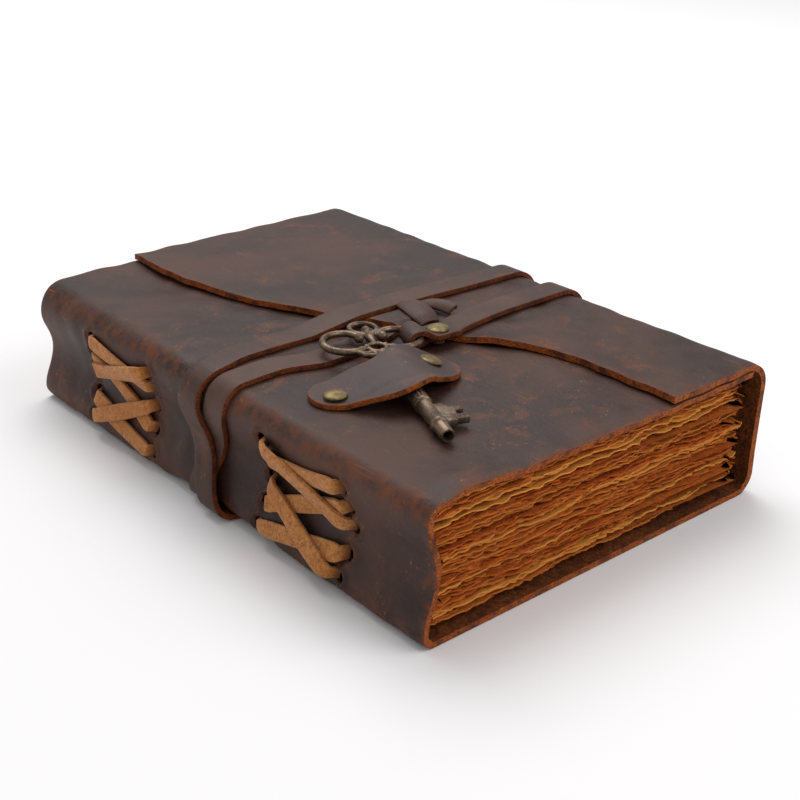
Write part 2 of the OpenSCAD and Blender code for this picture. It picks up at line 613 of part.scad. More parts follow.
translate([centre_x, 0, 0]) cover();
translate([centre_x, 0, 0]) page_block();
translate([centre_x, 0, 0]) lacing_head();
translate([centre_x, 0, 0]) lacing_tail();
translate([centre_x, 0, 0]) wrap_strap();
translate([centre_x, 0, 0]) key();
translate([centre_x, 0, 0]) key_keeper();
translate([centre_x, 0, 0]) keeper_rivet_left();
translate([centre_x, 0, 0]) keeper_rivet_left_back();
translate([centre_x, 0, 0]) keeper_rivet_right();
translate([centre_x, 0, 0]) keeper_rivet_right_back();
translate([centre_x, 0, 0]) strap_rivet();
translate([centre_x, 0, 0]) strap_rivet_back();
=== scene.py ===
# %% [markdown]
# # A leather wrap journal, closed and tied
# The journal is one hide wrapped round a block of hand-made pages. Its front edge is a curved flap,
# and a long strap goes round it twice, knots through the flap and loops round an old key.
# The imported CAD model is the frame: it fixes every place and size, and each piece below is a
# finer stand-in for one CAD node. X runs from spine to fore-edge, Y from tail to head, Z up.

# %% Load the frame
import math
import random
import bpy
import numpy as np
from mathutils import Matrix, Vector


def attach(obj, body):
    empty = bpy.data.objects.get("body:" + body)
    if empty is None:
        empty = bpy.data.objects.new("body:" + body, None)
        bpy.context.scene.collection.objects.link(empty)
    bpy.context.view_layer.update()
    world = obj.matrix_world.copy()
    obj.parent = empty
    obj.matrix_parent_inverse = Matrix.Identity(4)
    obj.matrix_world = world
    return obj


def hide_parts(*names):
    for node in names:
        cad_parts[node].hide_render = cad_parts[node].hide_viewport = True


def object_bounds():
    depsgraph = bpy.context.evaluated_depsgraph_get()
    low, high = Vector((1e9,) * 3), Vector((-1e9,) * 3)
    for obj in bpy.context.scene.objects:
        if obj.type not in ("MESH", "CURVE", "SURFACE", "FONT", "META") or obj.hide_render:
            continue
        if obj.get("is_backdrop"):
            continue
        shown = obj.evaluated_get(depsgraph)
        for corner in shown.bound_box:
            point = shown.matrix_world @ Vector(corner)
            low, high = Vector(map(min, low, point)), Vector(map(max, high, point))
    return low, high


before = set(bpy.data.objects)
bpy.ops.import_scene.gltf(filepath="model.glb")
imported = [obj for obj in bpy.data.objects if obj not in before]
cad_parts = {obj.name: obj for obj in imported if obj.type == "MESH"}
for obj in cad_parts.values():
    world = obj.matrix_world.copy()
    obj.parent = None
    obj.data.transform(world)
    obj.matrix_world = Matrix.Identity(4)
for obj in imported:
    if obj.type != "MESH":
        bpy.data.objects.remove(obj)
CAD_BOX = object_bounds()
MM = 0.001
CENTRE_X = 0.825
scene = bpy.context.scene
print("nodes", sorted(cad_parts))

# %% [markdown]
# ## Working on a mesh
# Leather work starts from a flat sheet, so most pieces here start from a flat grid. Each vertex of a
# grid of size 1 knows its own share along and across the sheet, and that share says where it goes.
# Selecting by hand is replaced by a mask: True for every face that the next operator acts on.

# %% Helpers for sheets and selections
def only(piece):
    bpy.ops.object.select_all(action="DESELECT")
    piece.select_set(True)
    bpy.context.view_layer.objects.active = piece


def coords(piece):
    flat = np.empty(len(piece.data.vertices) * 3)
    piece.data.vertices.foreach_get("co", flat)
    return flat.reshape(-1, 3) / MM


def set_coords(piece, xyz):
    piece.data.vertices.foreach_set("co", (np.asarray(xyz) * MM).ravel())
    piece.data.update()


def face_centres(piece):
    flat = np.empty(len(piece.data.polygons) * 3)
    piece.data.polygons.foreach_get("center", flat)
    return flat.reshape(-1, 3) / MM


def in_edit_mode(piece, mask, operator, **values):
    only(piece)
    mesh = piece.data
    mesh.vertices.foreach_set("select", np.zeros(len(mesh.vertices), bool))
    mesh.edges.foreach_set("select", np.zeros(len(mesh.edges), bool))
    mesh.polygons.foreach_set("select", mask)
    bpy.context.tool_settings.mesh_select_mode = (False, False, True)
    bpy.ops.object.mode_set(mode="EDIT")
    operator(**values)
    bpy.ops.object.mode_set(mode="OBJECT")


def all_faces(piece):
    return np.ones(len(piece.data.polygons), bool)


def flat_sheet(name, cols, rows):
    bpy.ops.object.select_all(action="DESELECT")
    bpy.ops.mesh.primitive_grid_add(x_subdivisions=cols, y_subdivisions=rows, size=1)
    piece = bpy.context.object
    piece.name = name
    share = coords(piece) * MM + 0.5
    return piece, share[:, 0], share[:, 1]


def modify(piece, kind, **values):
    only(piece)
    modifier = piece.modifiers.new(kind.title(), kind)
    for key, value in values.items():
        setattr(modifier, key, value)
    bpy.ops.object.modifier_apply(modifier=modifier.name)


def smooth(piece, degrees=40):
    only(piece)
    bpy.ops.object.shade_smooth_by_angle(angle=math.radians(degrees))


def join(name, pieces):
    only(pieces[0])
    for piece in pieces:
        piece.select_set(True)
    bpy.ops.object.join()
    pieces[0].name = name
    return pieces[0]


def facing(piece, wanted, first=False):
    """Turns the faces over if the middle face, or the first, looks away from the wanted direction."""
    tested = piece.data.polygons[0 if first else len(piece.data.polygons) // 2]
    if tested.normal.dot(Vector(wanted)) < 0:
        in_edit_mode(piece, all_faces(piece), bpy.ops.mesh.flip_normals)


def lerp(a, b, s):
    return a + (b - a) * s


def ease(v):
    c = np.clip(v, 0, 1)
    return c * c * (3 - 2 * c)


def between(v, low, high, fade):
    """1 from low to high, fading to 0 inside both ends."""
    return ease((v - low) / fade) * ease((high - v) / fade)


def waves(x, y, z, seed, size):
    """Gentle hills and hollows between about -1 and 1, of the given size in mm."""
    rng = np.random.default_rng(seed)
    total = 0
    for _ in range(7):
        way = rng.normal(size=3)
        way *= 2 * math.pi * rng.uniform(0.6, 1.5) / (size * np.linalg.norm(way))
        total = total + np.sin(way[0] * x + way[1] * y + way[2] * z + rng.uniform(0, 2 * math.pi))
    return total / 3.5


# %% [markdown]
# ## The sizes that the pieces share
# These are the CAD model's own sizes in millimetres. The surface functions give the outside of the
# closed book as x, z and the normal, and the hide, strap, laces and keeper are all laid on them,
# so a swelling in one carries on in the next.

# %% Sizes in millimetres
HALF_L, HALF_W = 89.0, 60.75
BOOK_H, HIDE_T = 37.0, 1.7
FLAP_GAP, GAP = 0.2, 0.25
FORE_TOP_R, FORE_LOW_R, FORE_LEAN, FORE_PULL = 8.0, 6.0, 1.0, 0.3
FORE_STEPS, SPINE_STEPS = 11, 18
SPINE_TAIL_R, SPINE_HEAD_R, SPINE_LOW_R = 4.5, 8.5, 3.6
WAIST, SPINE_LEAN = 3.2, 1.0
STRAP_W, STRAP_T = 8.4, 1.4
STRAP_LEVEL = STRAP_T + GAP
FLAP_TOP = BOOK_H + FLAP_GAP + HIDE_T
FLAP_Y = [-89, -60, -50, -42, -35, -28, -24, -20, -16, -12, -8, -3, 2, 11, 20, 30, 42, 56, 72, 89]
FLAP_X = [22, 21.4, 20, 17.4, 13.8, 9, 6.4, 5, 2.2, -1.2, -3.4, -5.6, -6.8, -10, -14.2, -19, -23, -26.2,
    -27.5, -26]
SLIT_X, HIDDEN_Y, HIDDEN_TAPER = 5.0, -6.0, 2.6
HIDDEN_RISE = STRAP_T + 0.05


# %% [markdown]
# On the real book the hide swells over the pages, sinks at the waist of the spine and rises over the
# hidden start of the strap. Sculpting could show that once, but strap, laces and keeper have to follow
# it too, so each side is a small function of Y and of the way round.

# %% Surface of the closed book
def flap_x(y):
    return sum(np.interp(y + d, FLAP_Y, FLAP_X) for d in (-3, 0, 3)) / 3


def spine_r(y):
    return lerp(SPINE_TAIL_R, SPINE_HEAD_R, np.clip(0.5 + y / (2 * HALF_L), 0, 1) ** 2)


def arch_z(y):
    """The back cover is drawn up where the strap passes under it."""
    return STRAP_LEVEL * between(y, -37, 21, 12)


def quiet(x, y):
    """0 where the key, keeper and rivets lie on the cover, 1 elsewhere."""
    return 1 - between(x, -62, 16, 10) * between(y, -84, 2, 10)


def front_relief(x, y):
    swell = 0.55 * waves(x, y, 0, 3, 60) + 0.16 * waves(x, y, 0, 4, 17)
    corner = 1.5 * np.exp(-((x + 50) / 13) ** 2) * ease((-58 - y) / 28)
    return quiet(x, y) * (swell * 0.6 + corner)


def flap_rise(x, y):
    return (HIDDEN_RISE * ease((STRAP_W / 2 - 0.8 + HIDDEN_TAPER - abs(y - HIDDEN_Y)) / HIDDEN_TAPER)
        * ease((SLIT_X + 3.2 + HIDDEN_TAPER - x) / HIDDEN_TAPER))


def flap_relief(x, y):
    """The free edge of the flap lifts a little, except where the strap holds it down."""
    held = between(y, -34, 18, 8)
    edge = np.exp(-np.clip(x - flap_x(y), 0, 200) / 7)
    lift = (0.55 + 0.35 * waves(0, y, 0, 9, 34)) * edge * (1 - held)
    return lift + 0.35 * waves(x, y, 0, 5, 55) * (1 - held)


def top_z(x, y):
    on_flap = np.clip((x - flap_x(y) + 16) / 15.7, 0, 1)
    low = BOOK_H + front_relief(x, y)
    return lerp(low, FLAP_TOP + flap_rise(x, y) + flap_relief(x, y), on_flap)


def arc(cx, cz, r, degrees):
    c, s = np.cos(np.radians(degrees)), np.sin(np.radians(degrees))
    return [cx + r * c, cz + r * s, c, s]


def fore_at(i, y):
    """The fore-edge from the top (0) to the bottom (11): fold, wall, fold."""
    low = arch_z(y) + FORE_LOW_R
    s = np.clip((i - 5) / 2, 0, 1)
    swell = 0.5 * waves(0, y, 20, 6, 50) * np.sin(math.pi * s)
    wall = [HALF_W - FORE_LEAN * s - FORE_PULL + swell * 0.4, lerp(FLAP_TOP - FORE_TOP_R, low, s),
        1 + 0 * s, 0 * s]
    top = arc(HALF_W - FORE_TOP_R, FLAP_TOP - FORE_TOP_R, FORE_TOP_R, 90 - 18 * i)
    bottom = arc(HALF_W - FORE_LEAN - FORE_LOW_R, low, FORE_LOW_R, -22.5 * (i - 7))
    top[0] = top[0] - FORE_PULL * ease(i / 5)
    bottom[0] = bottom[0] - FORE_PULL * ease((FORE_STEPS - i) / 4)
    return [np.where(i <= 5, t, np.where(i >= 7, b, w)) for t, b, w in zip(top, bottom, wall)]


def spine_at(i, y):
    """The spine from the bottom (0) to the top (18): fold, waisted wall, fold."""
    r = spine_r(y)
    low, high = arch_z(y) + SPINE_LOW_R, BOOK_H - r
    s = np.clip((i - 4) / 10, 0, 1)
    slope = (SPINE_LEAN + WAIST * math.pi * np.sin(2 * math.pi * s)) / (high - low)
    long = np.sqrt(1 + slope * slope)
    wall = [-HALF_W + SPINE_LEAN * s + WAIST * (1 - np.cos(2 * math.pi * s)) / 2, lerp(low, high, s),
        -1 / long, slope / long]
    bottom = arc(-HALF_W + SPINE_LOW_R, low, SPINE_LOW_R, 270 - 22.5 * i)
    top = arc(-HALF_W + SPINE_LEAN + r, high, r, 180 - 22.5 * (i - 14))
    return [np.where(i < 4, b, np.where(i > 14, t, w)) for t, b, w in zip(top, bottom, wall)]


def spine_skin_x(z, y):
    """X of the spine's outer face at a height."""
    low = arch_z(y) + SPINE_LOW_R
    s = np.clip((z - low) / (BOOK_H - spine_r(y) - low), 0, 1)
    fold = SPINE_LOW_R - np.sqrt(np.clip(SPINE_LOW_R * SPINE_LOW_R - (low - z) ** 2, 0, None))
    return -HALF_W + SPINE_LEAN * s + WAIST * (1 - np.cos(2 * math.pi * s)) / 2 + np.where(z < low, fold, 0)


# %% [markdown]
# ## Materials
# The hide is oiled, pulled-up leather: dark brown with a grey waxy bloom, rust where it is bent,
# scuffed or worn, and orange fibre where it is cut. Colours, pores and scratches are noise on
# Object coordinates, in metres, so they keep their real scale on every piece.

# %% Node helpers
class Nodes:
    """Builds a material's node tree with short calls."""

    def __init__(self, name):
        self.material = bpy.data.materials.new(name)
        self.material.use_nodes = True
        self.tree = self.material.node_tree
        self.tree.nodes.clear()
        self.output = self.add("OutputMaterial")
        self.shader = self.add("BsdfPrincipled")
        self.tree.links.new(self.shader.outputs[0], self.output.inputs[0])
        self.place = self.add("TexCoord").outputs["Object"]

    def add(self, kind, **values):
        node = self.tree.nodes.new("ShaderNode" + kind)
        for key, value in values.items():
            setattr(node, key, value)
        return node

    def put(self, socket, value):
        if isinstance(value, bpy.types.NodeSocket):
            self.tree.links.new(value, socket)
        else:
            socket.default_value = value

    def mapped(self, scale, turn=(0, 0, 0)):
        node = self.add("Mapping")
        self.put(node.inputs["Vector"], self.place)
        node.inputs["Rotation"].default_value = [math.radians(t) for t in turn]
        node.inputs["Scale"].default_value = scale
        return node.outputs[0]

    def noise(self, scale, detail=4, rough=0.55, vector=None, distortion=0.0):
        node = self.add("TexNoise")
        self.put(node.inputs["Vector"], vector or self.place)
        node.inputs["Scale"].default_value = scale
        node.inputs["Detail"].default_value = detail
        node.inputs["Roughness"].default_value = rough
        node.inputs["Distortion"].default_value = distortion
        return node.outputs["Fac"]

    def cells(self, scale, vector=None):
        node = self.add("TexVoronoi", feature="F1")
        self.put(node.inputs["Vector"], vector or self.place)
        node.inputs["Scale"].default_value = scale
        return node.outputs["Distance"]

    def range(self, value, low, high, to_low=0.0, to_high=1.0):
        node = self.add("MapRange", clamp=True, interpolation_type="SMOOTHSTEP")
        for socket, number in zip(node.inputs[:5], (value, low, high, to_low, to_high)):
            self.put(socket, number)
        return node.outputs[0]

    def math(self, operation, a, b=0.5):
        node = self.add("Math", operation=operation)
        self.put(node.inputs[0], a)
        self.put(node.inputs[1], b)
        return node.outputs[0]

    def mix(self, share, a, b, blend="MIX"):
        node = self.add("Mix", data_type="RGBA", blend_type=blend)
        sockets = [s for s in node.inputs if s.enabled]
        for socket, value in zip(sockets, (share, a, b)):
            self.put(socket, value)
        return [s for s in node.outputs if s.enabled][0]

    def attribute(self, name):
        return self.add("Attribute", attribute_name=name).outputs["Fac"]

    def bump(self, height, strength, distance, normal=None):
        node = self.add("Bump")
        node.inputs["Strength"].default_value = strength
        node.inputs["Distance"].default_value = distance
        self.put(node.inputs["Height"], height)
        if normal:
            self.put(node.inputs["Normal"], normal)
        return node.outputs[0]

    def surface(self, **values):
        for key, value in values.items():
            self.put(self.shader.inputs[key.replace("_", " ")], value)
        return self.material


def rgb(code):
    """A written sRGB colour such as 5a4a45 as the linear colour that the shader takes."""
    parts = [int(code[i:i + 2], 16) / 255 for i in (0, 2, 4)]
    return tuple(c / 12.92 if c <= 0.04045 else ((c + 0.055) / 1.055) ** 2.4 for c in parts) + (1.0,)


# %% [markdown]
# Waxed hide shows three faces: the grain side, cloudy and scratched, the hairy flesh side within, and the
# cut edge with its orange fibre. A picture could hold them, but noise at several scales stays sharp at any
# distance. One point attribute says where the wax is rubbed off on the hide, and on the laces the same
# attribute holds painted shade.

# %% Leather: grain side, flesh side and cut edge
def grain_leather(name, dark, light, rust, wear_and_shade=1.0):
    n = Nodes(name)
    cloud = n.noise(26, 5, 0.6)
    patch = n.noise(95, 4, 0.62, distortion=0.6)
    grit = n.noise(850, 3, 0.6)
    colour = n.mix(n.range(cloud, 0.38, 0.66), rgb(dark), rgb(light))
    colour = n.mix(n.math("MULTIPLY", n.range(patch, 0.54, 0.72), 0.5), colour, rgb(rust))
    speck = n.math("MULTIPLY", n.range(grit, 0.6, 0.74), n.range(patch, 0.44, 0.62))
    colour = n.mix(n.math("MULTIPLY", speck, 0.75), colour, rgb("8a5632"))
    scratch = None
    for turn, seed in ((28, 0.0), (-52, 3.0), (75, 7.0)):
        lines = n.noise(1, 2, 0.5, vector=n.mapped((1400, 34, 300), (0, 0, turn)), distortion=0.25)
        where = n.range(n.noise(48 + seed, 2), 0.56, 0.66)
        one = n.math("MULTIPLY", n.range(lines, 0.69, 0.75), where)
        scratch = one if scratch is None else n.math("MAXIMUM", scratch, one)
    colour = n.mix(n.math("MULTIPLY", scratch, 0.55), colour, rgb("8c5c3c"))
    worn = n.math("MULTIPLY", n.attribute("wear_and_shade"), n.range(n.noise(330, 4, 0.7), 0.36, 0.66))
    colour = n.mix(n.math("MULTIPLY", worn, wear_and_shade), colour, rgb("7c4522"))
    pores = n.range(n.cells(1500), 0.1, 0.5)
    creases = n.noise(1, 3, 0.6, vector=n.mapped((260, 120, 260), (0, 0, 20)), distortion=0.8)
    normal = n.bump(cloud, 0.25, 0.0012)
    normal = n.bump(creases, 0.35, 0.0005, normal)
    normal = n.bump(pores, 0.3, 0.0001, normal)
    normal = n.bump(scratch, 0.35, 0.0002, normal)
    rough = n.math("ADD", n.range(cloud, 0.3, 0.7, 0.44, 0.6), n.math("MULTIPLY", worn, 0.2))
    return n.surface(Base_Color=colour, Roughness=rough, Normal=normal, Specular_IOR_Level=0.3)


def flesh_leather(name, dark, light):
    n = Nodes(name)
    fibre = n.noise(620, 5, 0.7, distortion=1.2)
    cloud = n.noise(60, 3)
    colour = n.mix(n.range(fibre, 0.35, 0.68), rgb(dark), rgb(light))
    colour = n.mix(n.range(cloud, 0.45, 0.7, 0, 0.45), colour, rgb("2e160b"))
    normal = n.bump(fibre, 0.7, 0.0004)
    return n.surface(Base_Color=colour, Roughness=0.92, Normal=normal, Specular_IOR_Level=0.2)


def cut_leather(name, dark, light):
    n = Nodes(name)
    fibre = n.noise(1, 4, 0.65, vector=n.mapped((1500, 1500, 3600)))
    layer = n.noise(240, 3, 0.6)
    colour = n.mix(n.range(fibre, 0.34, 0.7), rgb(dark), rgb(light))
    colour = n.mix(n.range(layer, 0.46, 0.66, 0, 0.75), colour, rgb("3c2014"))
    normal = n.bump(fibre, 0.55, 0.0002)
    return n.surface(Base_Color=colour, Roughness=0.82, Normal=normal, Specular_IOR_Level=0.25)


hide_grain = grain_leather("hide_grain", "2b1812", "4b3129", "6b3719", 0.7)
hide_flesh = flesh_leather("hide_flesh", "45210e", "84471c")
hide_cut = cut_leather("hide_cut_edge", "662e0f", "b05c20")
keeper_grain = grain_leather("keeper_grain", "3b2c29", "52403d", "5f4034", 0.9)
strap_grain = grain_leather("strap_grain", "36221b", "533b33", "66371f", 0.7)
strap_flesh = flesh_leather("strap_flesh", "45220f", "7a4420")
strap_cut = cut_leather("strap_cut_edge", "47200d", "8a4317")


# %% [markdown]
# The laces are suede, orange and napped, with painted shade where they dive into a hole. The paper is soft
# and rust-stained, with pale folded leaves and painted shade in the gaps between them. Key and caps are old
# metal: worn
# and stained, with dark stains and light flecks at random.

# %% Lace suede, paper, bronze and brass
def lace_suede():
    n = Nodes("lace_suede")
    nap = n.noise(900, 5, 0.7, distortion=1.0)
    cloud = n.noise(90, 3)
    colour = n.mix(n.range(nap, 0.3, 0.7), rgb("8f5220"), rgb("c98a4c"))
    colour = n.mix(n.range(cloud, 0.42, 0.66, 0, 0.5), colour, rgb("a4601f"))
    # Painted shade: the lace turns dark brown where it dives into a hole.
    colour = n.mix(n.math("MULTIPLY", n.attribute("wear_and_shade"), 0.75), colour, rgb("5a3212"))
    return n.surface(Base_Color=colour, Roughness=0.88, Normal=n.bump(nap, 0.5, 0.00025),
        Specular_IOR_Level=0.25, Sheen_Weight=0.2)


def page_paper():
    n = Nodes("page_paper")
    tone = n.attribute("tone")
    fibre = n.noise(1, 6, 0.72, vector=n.mapped((300, 300, 900)), distortion=1.5)
    fleck = n.noise(1300, 4, 0.7)
    blot = n.noise(1, 3, 0.6, vector=n.mapped((45, 45, 240)), distortion=0.5)
    colour = n.mix(n.range(fibre, 0.3, 0.7), rgb("87300a"), rgb("c86316"))
    colour = n.mix(n.range(blot, 0.44, 0.62, 0, 0.6), colour, rgb("9c3c07"))
    colour = n.mix(n.math("MULTIPLY", tone, 0.9), colour, rgb("e09c44"))
    colour = n.mix(n.math("MULTIPLY", n.range(fleck, 0.6, 0.76), 0.45), colour, rgb("f0c98a"))
    # Painted shade in the gaps between leaves: the paper turns dark brown away from its torn edge.
    colour = n.mix(n.math("MULTIPLY", n.attribute("gap_shade"), 0.85), colour, rgb("4d1d05"))
    normal = n.bump(fibre, 0.8, 0.0005)
    normal = n.bump(fleck, 0.5, 0.0002, normal)
    return n.surface(Base_Color=colour, Roughness=0.9, Normal=normal, Specular_IOR_Level=0.2)


def old_metal(name, base, dark, light, rough, scale):
    n = Nodes(name)
    stain = n.noise(scale, 5, 0.65)
    fine = n.noise(scale * 7, 4, 0.6)
    colour = n.mix(n.range(stain, 0.36, 0.64), rgb(dark), rgb(base))
    colour = n.mix(n.range(fine, 0.5, 0.74, 0, 0.6), colour, rgb(light))
    normal = n.bump(fine, 0.3, 0.00012)
    shine = n.range(stain, 0.3, 0.7, rough + 0.12, rough)
    return n.surface(Base_Color=colour, Metallic=0.85, Roughness=shine, Normal=normal)


suede = lace_suede()
paper = page_paper()
bronze = old_metal("key_bronze", "7f6a59", "4a3c32", "9c8772", 0.4, 260)
brass = old_metal("rivet_brass", "867650", "635236", "9a8a60", 0.46, 330)

# %% [markdown]
# ## The hide
# The cover is one sheet about 1.7 mm thick. A bend would need a window in Blender, so the flat grid
# is laid round the book in code: its share along the sheet says which fold or wall a vertex is on.
# The faces near a lace hole are subdivided, pressed in, given raised lips and cut out, and
# Solidify then gives the sheet its thickness, with its own materials for flesh side and cut edge.

# %% Lay the sheet round the book
HOLE_Z = [29, 23.8, 18.4, 11.4, 5.2]
NEAR_Y = [26.5, 26.5, 27, 26.5, 25.5]
FAR_Y = [58.5, 59.5, 60.5, 59.5, 58]
HOLES = [(side * y, z, side * way) for side in (-1, 1) for k, z in enumerate(HOLE_Z)
    for y, way in ((NEAR_Y[k], -1), (FAR_Y[k], 1))]
FRONT_FREE_X = HALF_W - FORE_TOP_R + 1.5
WRAP_SHARES = [0, 0.21, 0.33, 0.48, 0.70, 1.0]


def wrap(share, y):
    """Place and normal on the outside of the hide: flap, fore-edge, back, spine, front."""
    s = [np.clip((share - a) / (b - a), 0, 1) for a, b in zip(WRAP_SHARES, WRAP_SHARES[1:])]
    x = lerp(flap_x(y), HALF_W - FORE_TOP_R, s[0] ** 1.25)
    flap = [x, FLAP_TOP + flap_rise(x, y) + flap_relief(x, y) * ease(2.5 * (1 - s[0])), 0 * x, 0 * x + 1]
    fore = fore_at(FORE_STEPS * s[1], y)
    back_at = lerp(HALF_W - FORE_LEAN - FORE_LOW_R, -HALF_W + SPINE_LOW_R, s[2])
    back = [back_at, arch_z(y), 0 * x, 0 * x - 1]
    spine = spine_at(SPINE_STEPS * s[3], y)
    x = lerp(-HALF_W + SPINE_LEAN + spine_r(y), FRONT_FREE_X, s[4])
    relief = front_relief(x, y) * ease((FRONT_FREE_X - x) / 8) * ease(12 * s[4])
    front = [x, BOOK_H + relief, 0 * x, 0 * x + 1]
    which = np.searchsorted(WRAP_SHARES[1:5], share, side="right")
    return [np.choose(which, [a, b, c, d, e]) for a, b, c, d, e in zip(flap, fore, back, spine, front)]


hide, along, up = flat_sheet("hide_cover", 206, 132)
y = lerp(-HALF_L, HALF_L, up)
x, z, nx, nz = wrap(along, y)
ripple = 0.18 * waves(x, y, z, 11, 12) * np.where(nz < -0.9, 0, 1) * quiet(x, y)
end = np.minimum(HALF_L - abs(y), 12)
ripple = ripple - 0.25 * np.exp(-end / 1.2) * np.where(nz < -0.9, 0, 1)
set_coords(hide, np.stack([x + nx * ripple + CENTRE_X, y, z + nz * ripple], 1))
facing(hide, (0, 0, 1), first=True)
print("hide", len(hide.data.polygons), "faces")

# %% Lace holes with raised lips
SPINE_FACES_X, SPINE_SIDE_X = -50, -48
centres = face_centres(hide)
on_spine = centres[:, 0] < SPINE_FACES_X
near_hole = np.zeros(len(centres), bool)
for hy, hz, _ in HOLES:
    near_hole |= on_spine & (np.hypot(centres[:, 1] - hy, centres[:, 2] - hz) < 4.2)
in_edit_mode(hide, near_hole, bpy.ops.mesh.subdivide, number_cuts=2)
spots = coords(hide)
move = np.zeros(len(spots))
for hy, hz, way in HOLES:
    side = (spots[:, 1] - hy) * np.sign(way)
    far = np.hypot(side * 0.9, spots[:, 2] - hz)
    lip = 0.9 * np.exp(-((far - 2.5) / 0.75) ** 2) * ease(0.5 + side / 3)
    pit = -1.4 * np.exp(-(far / 1.7) ** 2)
    pucker = -0.35 * np.exp(-(far / 5) ** 2)
    move += np.where(spots[:, 0] < SPINE_SIDE_X, lip + pit + pucker, 0)
spots[:, 0] -= move
set_coords(hide, spots)
centres = face_centres(hide)
open_faces = np.zeros(len(centres), bool)
for hy, hz, _ in HOLES:
    far = np.hypot(centres[:, 1] - hy, centres[:, 2] - hz)
    open_faces |= (centres[:, 0] < SPINE_SIDE_X) & (far < 1.75)
in_edit_mode(hide, open_faces, bpy.ops.mesh.delete, type="FACE")

# %% Thickness, cut edges and wear of the hide
for material in (hide_grain, hide_flesh, hide_cut):
    hide.data.materials.append(material)
modify(hide, "SOLIDIFY", thickness=HIDE_T * MM, offset=-1, use_even_offset=False, use_rim=True,
    material_offset=1, material_offset_rim=2)


# Stores one number per vertex under a name: wear on the leather, a leaf's tone, and painted shade on the
# laces and between the leaves.
def point_attribute(piece, values, name="wear_and_shade"):
    layer = piece.data.attributes.new(name, "FLOAT", "POINT")
    layer.data.foreach_set("value", np.clip(values, 0, 1).astype(np.float32))


spots = coords(hide)
x, y, z = spots[:, 0] - CENTRE_X, spots[:, 1], spots[:, 2]
worn = np.exp(-(HALF_L - abs(y)) / 1.3)
worn = np.maximum(worn, np.exp(-abs(x - flap_x(y)) / 1.2) * (z > BOOK_H + 0.6) * (x < 40))
ridge = np.exp(-((x + HALF_W - 2) / 3.5) ** 2) * np.exp(-((z - BOOK_H + 2.5) / 3.5) ** 2)
worn = np.maximum(worn, 0.75 * ridge)
worn = np.maximum(worn, 0.5 * np.exp(-((z - 3) / 3) ** 2) * np.exp(-((x + HALF_W - 1) / 4) ** 2))
for hy, hz, _ in HOLES:
    worn = np.maximum(worn, 0.9 * np.exp(-(np.hypot(y - hy, z - hz) / 3) ** 2) * (x < SPINE_SIDE_X))
point_attribute(hide, worn)
smooth(hide, 50)
print("hide", len(hide.data.polygons), "faces after Solidify")

# %% [markdown]
# ## The strap
# One ribbon of leather goes round the book twice. The route says at which Y it crosses each side;
# the surface below gives the height, and where it crosses itself on the spine it is lifted by its
# own thickness. A grid of one quad per station is laid along the route and given its thickness.

# %% Route of the strap
# Each pair: the leg and the share along it (0 front, 1 spine, 2 back, 3 fore-edge, 4 front again), and Y
ROUTE = [(0, -5.6), (0.1, -6), (0.22, -9.5), (0.45, -12), (0.62, -12.4), (0.78, -8.6), (0.9, -8.8),
    (1, -9.4), (1.2, -9), (1.45, -4.5), (1.7, -1.4), (1.85, 0.2), (2, 1), (3, 2.1), (4, 2.1), (4.3, 3.2),
    (4.8, 5.2), (4.92, 4.4), (5, 1.6), (5.3, 1.8), (5.5, 0), (5.7, -4.6), (5.84, -7.9), (6, -8.8),
    (6.3, -9.6), (7, -18.1), (8, -18.1), (8.24, -18.6), (8.34, -19.8), (8.41, -21.2), (9, -22)]
# The same places, and by how many straps the route is lifted there
LIFT = [(4.2, 0), (4.3, 0.15), (4.45, 0.15), (4.6, 0), (5.08, 0), (5.26, 1), (5.84, 1), (5.97, 0), (8, 0),
    (8.2, 0.1)]
FRONT_REACH = 2 * HALF_W - FORE_TOP_R - SPINE_LEAN - 6
SLIT_SHARE = (HALF_W - FORE_TOP_R - SLIT_X - STRAP_T) / FRONT_REACH
LOOP_SHARE = (HALF_W - FORE_TOP_R - 10) / FRONT_REACH


def strap_skin(t, y):
    leg, s = np.floor(t).astype(int) % 4, t - np.floor(t)
    x = lerp(HALF_W - FORE_TOP_R, -HALF_W + SPINE_LEAN + spine_r(y), s)
    front = [x, np.where(t < 1, BOOK_H + front_relief(x, y), top_z(x, y)), 0 * x, 0 * x + 1]
    spine = spine_at(SPINE_STEPS * (1 - s), y)
    back_at = lerp(-HALF_W + SPINE_LOW_R, HALF_W - FORE_LEAN - FORE_LOW_R, s)
    back = [back_at, arch_z(y), 0 * x, 0 * x - 1]
    fore = fore_at(FORE_STEPS * (1 - s), y)
    return [np.choose(leg, [a, b, c, d]) for a, b, c, d in zip(front, spine, back, fore)]


def station_list():
    """Where the strap has a row of vertices: the first and the last leg are short."""
    first = SLIT_SHARE + (1 - SLIT_SHARE) * np.arange(40) / 40
    legs = [leg + np.arange(rows) / rows for leg, rows in enumerate((30, 24, 26, 90, 36, 24, 26), 1)]
    return np.concatenate([first] + legs + [8 + LOOP_SHARE * np.arange(23) / 22])


stations = station_list()
route_t, route_y = zip(*ROUTE)
lift_t, lift_n = zip(*LIFT)
shown = np.where(stations < 1, (stations - SLIT_SHARE) / (1 - SLIT_SHARE), stations)
centre_y = np.interp(shown, route_t, route_y)
for _ in range(3):
    centre_y[1:-1] = (centre_y[:-2] + 2 * centre_y[1:-1] + centre_y[2:]) / 4
ACROSS = 6
edge = np.linspace(-1, 1, ACROSS + 1)
Y = centre_y[:, None] + edge[None, :] * STRAP_W / 2
T = np.repeat(stations[:, None], ACROSS + 1, 1)
X, Z, NX, NZ = strap_skin(T, Y)
rise = GAP + np.interp(T, lift_t, lift_n) * STRAP_LEVEL + STRAP_T
main = np.stack([X + NX * rise, Y, Z + NZ * rise], 2)

# %% [markdown]
# The strap's end goes round the ring of the key and back on itself, and a rivet holds the fold.
# A cord of this kind could be bent by a curve, but a list of rows keeps each width and skew in hand.

